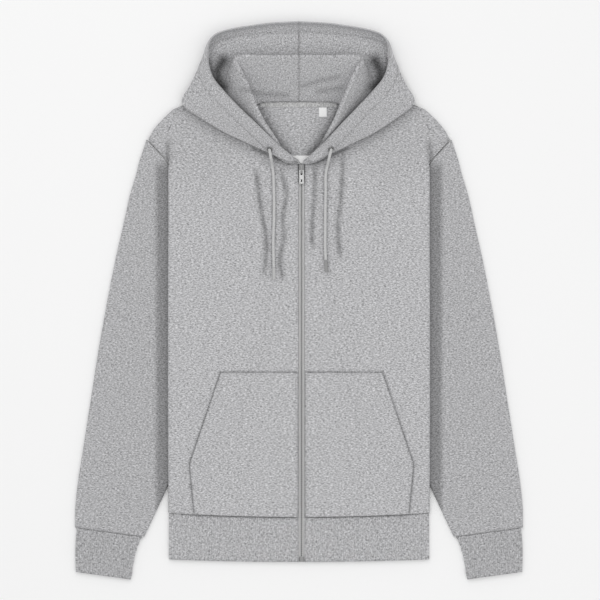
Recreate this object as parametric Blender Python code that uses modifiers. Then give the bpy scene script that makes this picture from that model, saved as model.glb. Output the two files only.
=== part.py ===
"""Zip-up hooded sweatshirt laid on its back, hood open, sleeves beside the body. Metres, +Z up.

Every cloth piece is a sheet on a grid of points, worked out in millimetres and given its wall by
Solidify. X runs across the garment, Y from the hem to the hood, Z up from the surface it lies on.
"""

import functools
import math

import bmesh
import bpy
import numpy as np

MM = 0.001

# Cloth walls
FLEECE = 2.0  # body and sleeves
HOOD_WALL = 2.4  # two layers sewn as one
RIB_WALL = 1.5  # plain inside of the ribbed bands
RIB_RISE = 0.8  # how far a rib stands out of it
RIB_UPPER = 3.9  # inside of the upper layer of a ribbed band
TAPE_WALL = 0.9
SEAM_GAP = 0.3  # air between two pieces that are sewn together

# Levels of the middle of each layer above the surface
FLOOR_LAYER = FLEECE / 2  # whatever lies on the surface
UPPER_LAYER = 4.8  # front, and top of a sleeve, where nothing is turned under

# Body
ZIP_X = 4.0  # the front closes a little to one side of the middle
ZIP_GAP = 4.5  # from the zip's middle to the cloth on each side
HEM_SEAM_Y = -334.0  # at the sides
HEM_END_Y = -406.5
HEM_SAG = 6.5  # the hem bows down to the middle
SLOPE = 70.0  # width over which the body climbs onto the sleeve below it
SLOPE_AIR = 1.6  # the front stands this much further off the back there

# The side of the body, from the shoulder down. Half widths are from the middle. "edge" is the fold
# seen from above, "end" where the piece is sewn to the next: outside the fold above y 219 and
# turned under it below. top/tip are the layer's levels before and after the fold; turn is -1 for a
# step, 0 for a quarter turn down, 1 for a U turn.
SIDE = (
    # y, edge, end, front: top, tip, turn, back: top, tip, turn
    (312.0, 108.0, 136.0, 4.8, 4.8, -1.0, 1.0, 1.0, -1.0),
    (306.5, 160.0, 181.0, 4.8, 4.8, -1.0, 1.0, 1.0, -1.0),
    (299.0, 180.0, 198.0, 4.8, 4.8, -1.0, 1.0, 1.0, -1.0),
    (283.0, 196.0, 215.0, 4.8, 4.8, -1.0, 1.0, 1.0, -1.0),
    (267.0, 203.0, 228.5, 5.6, 4.8, -1.0, 1.8, 1.0, -1.0),
    (252.0, 204.0, 236.5, 8.0, 4.8, -0.9, 4.4, 1.0, -0.9),
    (236.0, 204.0, 222.0, 11.2, 4.8, -0.6, 7.8, 1.0, -0.6),
    (225.0, 204.0, 211.5, 13.0, 4.8, -0.2, 9.9, 1.0, -0.4),
    (220.0, 204.0, 204.6, 13.7, 5.0, -0.05, 10.8, 1.6, -0.1),
    (215.0, 204.0, 204.0, 14.2, 6.6, 0.0, 11.8, 9.4, 0.9),
    (209.0, 204.0, 197.5, 14.6, 7.1, 1.0, 12.3, 9.4, 1.0),
    (190.0, 204.0, 193.0, 14.9, 7.1, 1.0, 12.6, 9.4, 1.0),
    (157.0, 204.0, 180.5, 14.9, 7.1, 1.0, 12.6, 9.4, 1.0),
    (136.0, 204.0, 163.0, 14.9, 7.1, 1.0, 12.6, 9.4, 1.0),
    (123.0, 204.0, 150.0, 14.9, 7.1, 1.0, 12.6, 9.4, 1.0),
    (98.0, 204.0, 124.0, 14.9, 7.1, 1.0, 12.6, 9.4, 1.0),
    (40.0, 204.3, 135.0, 14.9, 7.1, 1.0, 12.6, 9.4, 1.0),
    (-10.0, 204.4, 145.0, 14.9, 7.1, 1.0, 12.6, 9.4, 1.0),
    (-80.0, 204.5, 158.0, 14.9, 7.1, 1.0, 12.6, 9.4, 1.0),
    (-156.0, 204.5, 172.0, 14.9, 7.1, 1.0, 12.6, 9.4, 1.0),
    (-232.0, 204.3, 186.0, 14.9, 7.1, 1.0, 12.6, 9.4, 1.0),
    (-284.0, 204.0, 194.0, 14.9, 7.1, 1.0, 12.6, 9.4, 1.0),
    (-299.0, 204.0, 196.0, 13.0, 5.6, 1.0, 10.7, 7.8, 1.0),
    (-308.0, 204.0, 198.0, 10.8, 4.0, 1.0, 8.5, 6.2, 1.0),
    (-314.0, 204.0, 204.0, 9.3, 4.2, 0.0, 6.7, 5.2, 0.6),
    (-322.0, 204.0, 204.0, 7.3, 3.8, 0.0, 3.4, 1.6, 0.0),
    (-333.7, 204.0, 204.0, 4.9, 3.4, 0.0, 1.0, 1.0, -1.0),
)

# Neckline of a front: half width against y
NECKLINE = ((312.0, 72.0), (299.0, 73.0), (283.0, 70.5), (267.0, 65.0), (252.0, 58.0),
            (236.0, 47.0), (225.0, 37.5), (220.0, 30.5), (215.0, 19.0), (214.0, 4.5), (209.0, 4.5))

# Sleeve: the two edges of the flat tube, from the armhole to the cuff seam, as (half width, y)
SLEEVE_OUTER = ((238.4, 251.5), (243.4, 236.0), (248.8, 220.0), (253.5, 201.0), (264.5, 164.0),
                (273.0, 126.0), (285.8, 69.6), (300.7, -6.0), (314.0, -81.0), (325.8, -156.5),
                (337.5, -232.0), (346.2, -288.0), (350.0, -326.0), (350.4, -356.5))
SLEEVE_INNER = ((122.0, 97.0), (104.0, 66.0), (97.5, 36.0), (96.0, -7.0), (110.0, -78.0),
                (147.0, -156.5), (181.0, -232.0), (206.5, -291.0), (226.0, -333.0), (243.8, -371.0))
ARMHOLE = ((238.4, 251.5), (222.5, 234.0), (208.0, 218.0), (197.5, 196.0), (182.0, 157.0),
           (150.5, 121.5), (122.0, 97.0))
BACK_LIP = 6.8  # the back of the sleeve rises this far to the back, inside the fold

# Cuff and hem ribs
CUFF_OUTER = ((350.6, -357.0), (351.0, -392.0), (350.0, -426.0))
CUFF_INNER = ((244.2, -371.5), (251.0, -384.0), (256.0, -398.0), (263.5, -438.0))
CUFF_STEP = 2.0  # the cuff is drawn in this far from the sleeve on each side
CUFF_COLUMNS = 28  # of each layer: a raised rib at every second one
HEM_RIB_PITCH = 7.4

# Hood: five lines from the centre back to the centre front, each as (half width, y, z). The cloth
# runs from the neck seam up to the ridge, down into the valley, out to the fold and up to the brim.
HOOD_SEAM = ((0.3, 312.0, 5.2), (35.0, 311.5, 5.2), (62.0, 309.0, 5.8), (72.0, 296.0, 7.6),
             (70.0, 280.0, 7.8), (64.5, 266.0, 7.8), (61.0, 259.0, 7.8), (58.5, 254.0, 7.8),
             (54.0, 246.0, 7.8), (46.0, 234.5, 7.8), (36.5, 223.5, 7.8), (20.0, 215.8, 7.8),
             (9.5, 214.6, 7.6), (2.2, 214.4, 7.4))
HOOD_RIDGE = ((0.3, 384.0, 29.0), (50.0, 384.0, 29.0), (98.0, 383.0, 30.0), (91.0, 364.0, 35.0),
              (78.0, 337.0, 37.0), (66.0, 307.0, 37.0), (56.5, 285.5, 36.0), (48.0, 271.0, 33.5),
              (38.5, 256.5, 28.0), (31.5, 246.0, 21.0), (25.5, 238.5, 13.5), (16.5, 228.0, 11.4),
              (9.1, 216.6, 8.6), (2.2, 214.9, 7.7))
HOOD_VALLEY = ((0.3, 344.0, 3.8), (47.0, 344.0, 3.8), (104.0, 350.0, 2.6), (118.0, 340.0, 7.5),
               (113.0, 318.0, 8.8), (98.0, 297.0, 9.2), (84.0, 278.0, 9.2), (74.0, 263.0, 9.4),
               (60.0, 244.6, 10.4), (44.5, 237.2, 12.6), (30.0, 233.4, 14.8), (17.5, 224.0, 15.0),
               (8.8, 218.2, 10.6), (2.2, 215.4, 8.0))
HOOD_FOLD = ((0.3, 432.0, 1.6), (62.0, 428.0, 1.6), (131.0, 414.0, 2.6), (154.0, 376.0, 6.5),
             (171.0, 339.0, 9.4), (183.0, 308.5, 10.8), (152.0, 283.0, 11.0), (112.0, 258.0, 11.2),
             (74.0, 239.8, 12.0), (53.2, 230.8, 13.2), (36.0, 223.2, 16.0), (19.5, 216.6, 16.6),
             (8.4, 219.8, 12.6), (2.1, 215.9, 8.3))
HOOD_BRIM = ((0.3, 436.6, 15.0), (60.0, 432.4, 15.0), (129.0, 417.0, 19.0), (141.0, 384.0, 30.0),
             (135.0, 352.0, 33.0), (116.0, 327.0, 34.0), (90.0, 299.5, 33.5), (66.0, 275.7, 33.2),
             (46.7, 255.7, 31.6), (35.4, 244.6, 27.6), (27.4, 237.7, 22.0), (15.0, 227.6, 21.0),
             (8.0, 221.6, 14.6), (2.0, 216.4, 8.6))
HOOD_SHIFT = ((440.0, -1.0), (300.0, -1.0), (236.0, 2.2), (215.0, 3.6))  # its middle against y
HOOD_STATIONS = (0, 1, 1.5, 2, 2.5, 3, 3.5, 4, 4.5, 5, 6, 7, 8, 9, 10, 11, 12, 13)  # rows used
HOOD_CORNER = 11.0  # the corners between the lines are rounded from this far before them
TURN_REACH = 4.5  # and the sharpest ones from here,
TURN_RADIUS = 2.5  # with at least this radius in the middle of the wall

# Pocket, from the zip: (half width from the zip, y) of its open side
POCKET_TOP_Y, POCKET_BASE_Y = -113.0, -333.0
POCKET_EDGE = ((126.5, POCKET_TOP_Y), (150.0, -182.5), (174.0, -252.0), (175.0, -259.0),
               (168.0, POCKET_BASE_Y))
POCKET_INNER = 6.2

# Trims
TAPE_HALF = 12.0
CHAIN_WIDTH, CHAIN_HEIGHT = 5.2, 2.2
SLIDER_Y, SLIDER_SIZE = 205.8, (10.4, 14.4, 4.6)
BRIDGE_SIZE = (2.4, 10.0, 3.6)
BRIDGE_BAR = 1.2
PIVOT_Y = 203.4
TAB_SIZE = (6.8, 21.0, 1.2)
BOX_SIZE = (8.6, 8.0, 4.4)
CORD_RADIUS = 2.3
CORD_CLEAR = 0.4  # how far it lies off the cloth, past a seam's gap
CORD_OUT = 1.1  # where it starts, out of the hood's face past a seam's gap
CORD_STEP = 11.0
CORD_BEND = 11.0  # radius in which it turns over at its eyelet and comes to lie on the front
CORD_RISE, CORD_FALL = 45.0, 50.0  # steepest angles up and down on the way
TIP_RADIUS = 2.7
EYELET_RADIUS, EYELET_WIRE = 3.9, 0.9
EYELET_AT = (0.69, 3.60)  # along the hood and up its profile
# Middle of each cord on the front, from the eyelet down: (x, y)
CORD_LEFT = ((-42.0, 222.0), (-41.0, 205.0), (-39.5, 175.0), (-39.0, 142.0), (-40.3, 88.0),
             (-39.5, 51.5))
CORD_RIGHT = ((46.0, 222.0), (43.0, 205.0), (41.8, 170.0), (41.2, 120.0), (41.2, 80.0),
              (42.0, 63.0))
TIP_LENGTH = 19.0

# Soft creases of the fronts: (x at the top, x at the foot, top y, foot y, rise)
CREASES = ((-64.0, -55.0, 224.0, 60.0, 1.8), (66.0, 62.0, 236.0, 62.0, 1.6),
           (-27.0, -26.0, 212.0, 34.0, 1.6), (24.0, 22.0, 212.0, 88.0, 1.4))
CREASE_WIDTH = 8.0
FRONT_COLUMNS = 11  # from the zip to the fold


def table(rows, column, at):
    """A column of a table against its first column, which may run down."""
    rows = sorted(rows)
    return np.interp(at, [row[0] for row in rows], [row[column] for row in rows])


def smooth(value):
    """0 below 0, 1 above 1, and a smooth climb between them."""
    value = np.clip(value, 0.0, 1.0)
    return value * value * (3.0 - 2.0 * value)


def curve(points, at):
    """Points on a smooth line through the given ones, at shares of its length from 0 to 1."""
    points = np.array(points, float)
    length = np.concatenate([[0.0], np.cumsum(np.linalg.norm(np.diff(points, axis=0), axis=1))])
    at = np.atleast_1d(at) * length[-1]
    slopes = np.gradient(points, length, axis=0)
    k = np.clip(np.searchsorted(length, at, side="right") - 1, 0, len(length) - 2)
    span = (length[k + 1] - length[k])[:, None]
    t = (at - length[k])[:, None] / span
    return ((2 * t**3 - 3 * t**2 + 1) * points[k] + (t**3 - 2 * t**2 + t) * span * slopes[k]
            + (3 * t**2 - 2 * t**3) * points[k + 1] + (t**3 - t**2) * span * slopes[k + 1])


def hidden_from(y):
    """Half width from which a sleeve or a turned side lies under the body."""
    below = table([(b, a) for a, b in SLEEVE_INNER], 1, y)
    above = table([(b, a) for a, b in ARMHOLE[1:]], 1, y)
    return np.minimum(204.0, np.where(y < 97.0, below, above))


def side_value(column, y):
    return table(SIDE, column, y)


def level(x, y, front):
    """Middle of the front or of the back over the surface, inside the folds."""
    base = UPPER_LAYER if front else FLOOR_LAYER
    top = side_value(3 if front else 6, y)
    full = hidden_from(y) - 5.0
    full = np.where(y < -291.0, 196.0, full)
    start = np.maximum(full - SLOPE, 32.0)
    share = smooth((abs(x) - start) / (full - start))
    z = base + (top - base) * share
    if front:
        z = z + SLOPE_AIR * 4.0 * share * (1.0 - share) + creases(x, y)
    return z


def creases(x, y):
    """Rise of the soft creases that hang from the neck."""
    total = 0.0
    for top_x, foot_x, top_y, foot_y, rise in CREASES:
        share = np.clip((top_y - y) / (top_y - foot_y), 0.0, 1.0)
        centre = top_x + (foot_x - top_x) * share
        ends = smooth((top_y + 14.0 - y) / 28.0) * smooth((y - foot_y + 30.0) / 70.0)
        total = total + rise * ends * np.exp(-(((x - centre) / CREASE_WIDTH) ** 2))
    return total


def turn(edge, top, tip, how, steps):
    """A fold in section, as (half width, z), from the layer above to the layer below.

    how is -1 for a step outwards, 0 for a quarter turn down and 1 for a full turn back.
    """
    radius = (top - tip) * (1.0 - 0.5 * max(how, 0.0))
    radius = max(radius, 0.6)
    pull = radius * (0.552 + 0.78 * max(how, 0.0) + 0.15 * max(-how, 0.0))
    angle = math.radians(90.0 * (1.0 + how))
    start = np.array([edge - radius, top])
    stop = np.array([edge - radius * how, tip])
    a = start + (pull, 0.0)
    b = stop - pull * np.array([math.cos(angle), -math.sin(angle)])
    t = np.linspace(0.0, 1.0, steps + 1)[:, None]
    return (1 - t)**3 * start + 3 * (1 - t)**2 * t * a + 3 * (1 - t) * t * t * b + t**3 * stop


def side_path(y, inner, front, across, folded, beyond):
    """One row of a body panel for x > 0: from the inner edge over the fold to its outer seam."""
    pick = 3 if front else 6
    inset = 4.6 if 205.0 < y < 226.0 or -320.0 < y < -301.0 else 2.3
    edge = side_value(1, y) - (0.0 if front else inset)
    end = side_value(2, y)
    how = side_value(pick + 2, y)
    if not front and y < 214.0:
        end = end - (3.5 if y < 205.0 else 0.0)
    if not front and 214.0 <= y < 225.0:
        end = min(end, 202.0)
    fold = turn(edge, side_value(pick, y), side_value(pick + 1, y), how, folded)
    share = np.linspace(0.0, 1.0, across + 1)[:-1] ** 0.9
    x = inner + (fold[0, 0] - inner) * share
    z = level(x, y, front)
    last = fold[-1]
    rest = np.linspace(0.0, 1.0, beyond + 1)[1:]
    if how < -0.01:
        stop = max(end, last[0] + 0.4 * beyond)
    elif how > 0.5:
        stop = min(end, last[0] - 0.4 * beyond)
    else:
        stop = last[0] + (0.3 if how < 0 else -0.3) * beyond * abs(how)
    far = last[0] + (stop - last[0]) * rest
    low = last[1] - (0.25 if abs(how) < 0.3 else 0.0) * beyond * rest
    return np.concatenate([np.stack([x, z], 1), fold, np.stack([far, low + 0 * far], 1)])


def sheet(name, grid, wall, finish, closed=False, offset=0.0, factor=None):
    """A cloth piece: the grid of points (rows, columns, xyz) in mm, with its wall by Solidify.

    closed joins the last column to the first. factor thins the wall at each point of a row.
    """
    grid = np.asarray(grid, float)
    rows, columns = grid.shape[:2]
    mesh = bpy.data.meshes.new(name)
    faces = []
    for i in range(rows - 1):
        for j in range(columns if closed else columns - 1):
            k = (j + 1) % columns
            faces.append((i * columns + j, i * columns + k,
                          (i + 1) * columns + k, (i + 1) * columns + j))
    mesh.from_pydata((grid.reshape(-1, 3) * MM).tolist(), [], faces)
    obj = place(name, mesh, finish)
    solid = obj.modifiers.new("Wall", "SOLIDIFY")
    solid.thickness = wall * MM
    solid.offset = offset
    solid.use_quality_normals = True
    if factor is not None:
        group = obj.vertex_groups.new(name="ribs")
        for j in range(columns):
            group.add([i * columns + j for i in range(rows)], float(factor[j]), "REPLACE")
        solid.vertex_group = "ribs"
        solid.thickness_vertex_group = 0.0
    return obj


def place(name, mesh, finish):
    obj = bpy.data.objects.new(name, mesh)
    home.objects.link(obj)
    mesh.materials.append(finish)
    return obj


def material(name, colour, roughness, metallic=0.0):
    made = bpy.data.materials.new(name)
    made.use_nodes = True
    shader = made.node_tree.nodes["Principled BSDF"]
    shader.inputs["Base Color"].default_value = (*colour, 1.0)
    shader.inputs["Roughness"].default_value = roughness
    shader.inputs["Metallic"].default_value = metallic
    made.diffuse_color = (*colour, 1.0)
    return made


def mirrored(grid):
    """The same sheet on the other side of the middle, still facing the same way."""
    other = np.array(grid)[:, ::-1].copy()
    other[..., 0] *= -1.0
    return other


def rows_between(top, base, most):
    """Row heights: the lines of SIDE, with more between those that are far apart."""
    lines = [row[0] for row in SIDE if base - 0.01 <= row[0] <= top + 0.01]
    if lines[0] < top - 0.01:
        lines.insert(0, top)
    rows = [lines[0]]
    for a, b in zip(lines, lines[1:]):
        parts = max(1, math.ceil((a - b) / most))
        rows += [a + (b - a) * (k + 1) / parts for k in range(parts)]
    return rows


def hem_line(x, y):
    """The rows near the hem bow down towards the middle."""
    near = smooth((-180.0 - y) / 150.0)
    return y - HEM_SAG * near * (1.0 - np.minimum(abs(x) / 204.0, 1.0) ** 2)


@functools.lru_cache(maxsize=None)
def front_grid(side, most=64.0):
    """A front: side is -1 on the left of the view, 1 on the right."""
    shift = ZIP_X * side
    lines = [row[0] for row in SIDE] + [214.0]
    rows = []
    for y in sorted(set(rows_between(312.0, -333.7, most) + lines), reverse=True):
        inner = table(NECKLINE, 1, y)
        if y <= 214.0:
            inner += shift
        path = side_path(y, inner, True, FRONT_COLUMNS, 4, 1)
        x = path[:, 0]
        rows.append(np.stack([x * side, hem_line(x, y), path[:, 1]], 1))
    grid = np.array(rows)
    return grid if side > 0 else grid[:, ::-1]


def back_grid(most=70.0):
    rows = []
    for y in rows_between(312.0, -333.7, most):
        half = side_path(y, 0.0, False, 6, 3, 1)
        left = half[:0:-1] * (-1.0, 1.0)
        path = np.concatenate([left, half])
        rows.append(np.stack([path[:, 0], hem_line(abs(path[:, 0]), y), path[:, 1]], 1))
    return np.array(rows)


def tube_row(outer, inner, bow, low, high, tops, ends, lip=0.0):
    """One ring of a flattened tube lying on the surface, from its outer edge over the top."""
    outer, inner = np.array(outer), np.array(inner)
    width = np.linalg.norm(inner - outer)
    radius = (high - low) / 2
    middle = (high + low) / 2
    s, z = [], []
    for a in np.linspace(0.0, 90.0, ends + 1):
        s.append(radius * (1 - math.cos(math.radians(a))))
        z.append(middle + radius * math.sin(math.radians(a)))
    flat = np.linspace(radius, width - radius, tops + 1)[1:-1]
    s += list(flat)
    z += [high] * len(flat)
    for a in np.linspace(90.0, 0.0, ends + 1):
        s.append(width - radius * (1 - math.cos(math.radians(a))))
        z.append(middle + radius * math.sin(math.radians(a)))
    upper = len(s)
    back_s = s[1:-1][::-1]
    back_z = [2 * middle - k for k in z[1:-1][::-1]]
    s, z = np.array(s + back_s), np.array(z + back_z)
    share = s / width
    point = outer + (inner - outer) * share[:, None]
    offset = bow(share) if bow is not None else 0.0
    normal = np.array([-(inner - outer)[1], (inner - outer)[0]]) / width
    point = point + np.outer(offset * np.ones_like(s), normal)
    under = np.arange(len(s)) >= upper
    if lip:
        ramp = smooth((share - 0.42) / 0.16) * smooth((0.97 - share) / 0.05) * under
        z = z + lip * ramp
    return np.concatenate([point, z[:, None]], 1), under, share


def sleeve_grid(rows=11, tops=6, ends=3):
    outer, inner = np.array(SLEEVE_OUTER[0]), np.array(SLEEVE_INNER[0])
    along = (inner - outer) / np.linalg.norm(inner - outer)
    normal = np.array([-along[1], along[0]])
    hole = np.array(ARMHOLE) - outer
    shares = hole @ along / np.linalg.norm(inner - outer)
    bows = hole @ normal
    grid = []
    steps = [0.0, 0.012] + [0.045 + 0.955 * (k / (rows - 2)) ** 1.15 for k in range(rows - 1)]
    for v in steps:
        o, i = curve(SLEEVE_OUTER, v)[0], curve(SLEEVE_INNER, v)[0]
        fade = max(0.0, 1.0 - v / 0.16) ** 2

        def bow(share, fade=fade):
            return np.interp(share, shares, bows) * fade

        row, under, share = tube_row(o, i, bow, FLOOR_LAYER, UPPER_LAYER, tops, ends,
                                     BACK_LIP if v == 0.0 else 0.0)
        if v < 0.02:
            # The back runs on past the front here, to go round the fold
            reach = 3.2 * under * smooth((share - 0.30) / 0.15) * smooth((0.97 - share) / 0.05)
            row[:, :2] += np.outer(reach, -normal)
        grid.append(row)
    return np.array(grid)


def ribs_for(count):
    """Wall factor of each column: a rib stands out at every second one."""
    low = RIB_WALL / (RIB_WALL + RIB_RISE)
    return [1.0 if j % 2 else low for j in range(count)]


def cuff_grid(rows=4):
    grid = []
    for v in np.linspace(0.0, 1.0, rows):
        o, i = curve(CUFF_OUTER, v)[0], curve(CUFF_INNER, v)[0]
        along = (i - o) / np.linalg.norm(i - o)
        o, i = o + along * CUFF_STEP, i - along * CUFF_STEP
        grid.append(tube_row(o, i, None, RIB_WALL + RIB_RISE, RIB_UPPER, CUFF_COLUMNS, 2)[0])
    return np.array(grid)


def hem_grid(rows=2):
    """The band at the foot of the body: from the zip round the back to the zip again."""
    outer = 204.6 - RIB_WALL - RIB_RISE
    low, high = RIB_WALL + RIB_RISE, RIB_UPPER
    radius = (high - low) / 2
    start = ZIP_X - ZIP_GAP
    path = []
    flat = round((outer - radius + start) / HEM_RIB_PITCH) * 2
    for x in np.linspace(start, -(outer - radius), flat, endpoint=False):
        path.append((x, high))
    for a in np.linspace(90.0, 270.0, 6, endpoint=False):
        path.append((-(outer - radius) + radius * math.cos(math.radians(a)),
                     (low + high) / 2 + radius * math.sin(math.radians(a))))
    flat = round((outer - radius) * 2 / HEM_RIB_PITCH) * 2
    for x in np.linspace(-(outer - radius), outer - radius, flat, endpoint=False):
        path.append((x, low))
    for a in np.linspace(-90.0, 90.0, 6, endpoint=False):
        path.append(((outer - radius) + radius * math.cos(math.radians(a)),
                     (low + high) / 2 + radius * math.sin(math.radians(a))))
    flat = round((outer - radius - ZIP_X - ZIP_GAP) / HEM_RIB_PITCH) * 2
    for x in np.linspace(outer - radius, ZIP_X + ZIP_GAP, flat + 1):
        path.append((x, high))
    path = np.array(path)
    grid = []
    for v in np.linspace(0.0, 1.0, rows):
        y = (HEM_SEAM_Y - 1.0) * (1 - v) + HEM_END_Y * v
        sag = (HEM_SAG * (1 - v) + 4.0 * v) * (1.0 - np.minimum(abs(path[:, 0]) / 204.0, 1.0) ** 2)
        grid.append(np.stack([path[:, 0], y - sag, path[:, 1]], 1))
    return np.array(grid)


def hood_grid(side, stations=HOOD_STATIONS):
    """Half of the hood: side is -1 on the left of the view."""
    k = np.array(stations, float)
    lines = []
    for points in (HOOD_SEAM, HOOD_RIDGE, HOOD_VALLEY, HOOD_FOLD, HOOD_BRIM):
        points = np.array(points)
        slopes = np.gradient(points, axis=0)
        i = np.clip(k.astype(int), 0, len(points) - 2)
        t = (k - i)[:, None]
        lines.append((2 * t**3 - 3 * t**2 + 1) * points[i] + (t**3 - 2 * t**2 + t) * slopes[i]
                     + (3 * t**2 - 2 * t**3) * points[i + 1] + (t**3 - t**2) * slopes[i + 1])
    lines = np.array(lines)
    along = np.gradient(lines, axis=1)
    along /= np.linalg.norm(along, axis=2)[..., None]
    grid = np.array([rounded(lines[:, n], along[:, n]) for n in range(len(k))])
    shifted = np.maximum(smooth((abs(grid[..., 0]) - 1.0) / 14.0),
                         smooth((300.0 - grid[..., 1]) / 40.0))
    grid[..., 0] = grid[..., 0] * side + table(HOOD_SHIFT, 1, grid[..., 1]) * shifted
    return grid if side > 0 else grid[:, ::-1]


def rounded(corners, along, flat=2, bend=3):
    """A line through the corners, each rounded; flat and bend are the steps on each part.

    along is the direction of the fold at each corner. A sharp fold is opened into a turn wide
    enough for the wall to go round.
    """
    parts = [corners[:1]]
    at = corners[0]
    t = np.linspace(0.0, 1.0, bend + 1)[1:, None]
    steps = np.linspace(0.0, 1.0, flat + 1)[1:, None]
    for n in range(1, len(corners) - 1):
        corner = corners[n]
        back, on = corners[n - 1] - corner, corners[n + 1] - corner
        near, far = np.linalg.norm(back), np.linalg.norm(on)
        back, on = back / near, on / far
        back_over, on_over = back - back @ along[n] * along[n], on - on @ along[n] * along[n]
        back_share, on_share = np.linalg.norm(back_over), np.linalg.norm(on_over)
        half = 0.5 * math.acos(np.clip(back_over @ on_over / (back_share * on_share), -1.0, 1.0))
        opened = smooth((math.degrees(half) - 12.5) / 17.5)
        reach = TURN_REACH + (HOOD_CORNER - TURN_REACH) * opened
        near, far = min(reach / back_share, 0.42 * near), min(reach / on_share, 0.42 * far)
        side = back_over / back_share - on_over / on_share
        side = side / max(np.linalg.norm(side), 1e-9)
        wide, mean = TURN_RADIUS * math.cos(half), 0.5 * (near * back_share + far * on_share)
        inner = max(math.sqrt(wide * mean / 0.5625) - max(mean * math.sin(half), wide), 0.0)
        near_rise, far_rise = (near * back_share * math.sin(half),
                               far * on_share * math.sin(half))
        a = corner + back * near + side * max(wide - near_rise, 0.0)
        b = corner + on * far - side * max(wide - far_rise, 0.0)
        one = corner + back * near / 3 + side * max(inner - near_rise / 3, 0.0)
        two = corner + on * far / 3 - side * max(inner - far_rise / 3, 0.0)
        parts.append(at + (a - at) * steps)
        parts.append((1 - t)**3 * a + 3 * (1 - t)**2 * t * one + 3 * (1 - t) * t * t * two
                     + t**3 * b)
        at = b
    parts.append(at + (corners[-1] - at) * steps)
    return np.concatenate(parts)


def box(name, size, centre, finish, bevel):
    """A block with rounded edges, centred at a point in mm."""
    mesh = bpy.data.meshes.new(name)
    made = bmesh.new()
    bmesh.ops.create_cube(made, size=1.0)
    bmesh.ops.scale(made, vec=[s * MM for s in size], verts=made.verts)
    bmesh.ops.translate(made, vec=[c * MM for c in centre], verts=made.verts)
    made.to_mesh(mesh)
    made.free()
    obj = place(name, mesh, finish)
    if bevel:
        edge = obj.modifiers.new("Edges", "BEVEL")
        edge.width = bevel * MM
        edge.segments = 2
    return obj


def tool(name, size, centre):
    """A hidden block for a Boolean."""
    obj = box(name, size, centre, metal, 0.0)
    obj.hide_render = True
    obj.display_type = "WIRE"
    return obj


def combine(obj, other, operation):
    joined = obj.modifiers.new(operation.title(), "BOOLEAN")
    joined.operation = operation
    joined.object = other
    joined.solver = "EXACT"


def cord(name, points, radius, finish):
    """A round cord along points in mm, closed at both ends."""
    shape = bpy.data.curves.new(name, "CURVE")
    shape.dimensions = "3D"
    shape.bevel_depth = radius * MM
    shape.bevel_resolution = 2
    shape.use_fill_caps = True
    line = shape.splines.new("POLY")
    line.points.add(len(points) - 1)
    for point, at in zip(line.points, points):
        point.co = (*(float(c) * MM for c in at), 1.0)
    obj = bpy.data.objects.new(name, shape)
    home.objects.link(obj)
    shape.materials.append(finish)
    return obj


def front_top(x, y):
    """Upper face of a front as it is built, at points in mm."""
    x, y = np.broadcast_arrays(np.atleast_1d(np.asarray(x, float)), np.asarray(y, float))
    heights = np.empty(x.shape)
    for k in np.ndindex(x.shape):
        grid = front_grid(1 if x[k] > ZIP_X else -1)
        grid = grid if x[k] > ZIP_X else grid[:, ::-1]
        body = grid[:, :FRONT_COLUMNS + 1]
        rows = [(np.interp(abs(x[k]), abs(row[:, 0]), row[:, 1]),
                 np.interp(abs(x[k]), abs(row[:, 0]), row[:, 2])) for row in body]
        rows.sort()
        heights[k] = np.interp(y[k], [row[0] for row in rows], [row[1] for row in rows])
    return heights + FLEECE / 2


def draped(name, xs_of, ys, lift, wall, finish, front=True, sag=True):
    """A sheet that lies on a front or on the inside of the back, moved out by lift."""
    rows = []
    for y in ys:
        xs = xs_of(y)
        at = hem_line(xs, y) if sag else y + 0 * xs
        face = front_top(xs, at) if front else level(xs, y, False) + FLEECE / 2
        rows.append(np.stack([xs, at, face + SEAM_GAP + wall / 2 + lift], 1))
    grid = np.array(rows)
    return sheet(name, grid, wall, finish)


def pocket(name, side):
    ys = np.array([POCKET_TOP_Y, -138.0, -160.0, -182.0, -206.0, -230.0, -252.0, -260.0, -283.0,
                   -300.0, -318.0, -332.8])

    def xs_of(y):
        far = table([(b, a) for a, b in POCKET_EDGE], 1, y)
        xs = np.linspace(POCKET_INNER, far, 9) * side + ZIP_X
        return xs if side > 0 else xs[::-1]

    return draped(name, xs_of, ys, 0.75, FLEECE, fleece)


def build_body():
    for side, name in ((-1, "left"), (1, "right")):
        sheet(f"front_{name}", front_grid(side), FLEECE, fleece)
        sleeve = sleeve_grid()
        sheet(f"sleeve_{name}", sleeve if side > 0 else mirrored(sleeve), FLEECE, fleece, True)
        cuff = cuff_grid()
        factor = ribs_for(cuff.shape[1])
        cuff = cuff if side > 0 else mirrored(cuff)
        sheet(f"cuff_{name}", cuff, RIB_WALL + RIB_RISE, rib, True, 1.0,
              factor if side > 0 else factor[::-1])
        pocket(f"pocket_{name}", side)
        hood = hood_grid(side)
        sheet(f"hood_{name}", hood, HOOD_WALL, fleece)
    sheet("back_panel", back_grid(), FLEECE, fleece)
    band = hem_grid()
    sheet("hem_rib", band, RIB_WALL + RIB_RISE, rib, False, 1.0, ribs_for(band.shape[1]))


def build_labels():
    span = np.linspace(-60.0, 60.0, 7)
    draped("neck_tape", lambda y: span - 1.0, (311.2, 303.4), 0.0, TAPE_WALL, tape, False, False)
    size = np.linspace(31.5, 43.5, 2)
    draped("size_label", lambda y: size, (302.6, 288.0), 0.0, TAPE_WALL, label, False, False)
    patch = np.linspace(-27.0, 35.0, 4)
    draped("back_label", lambda y: patch, (227.0, 214.8), 0.0, TAPE_WALL, label, False, False)


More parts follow.
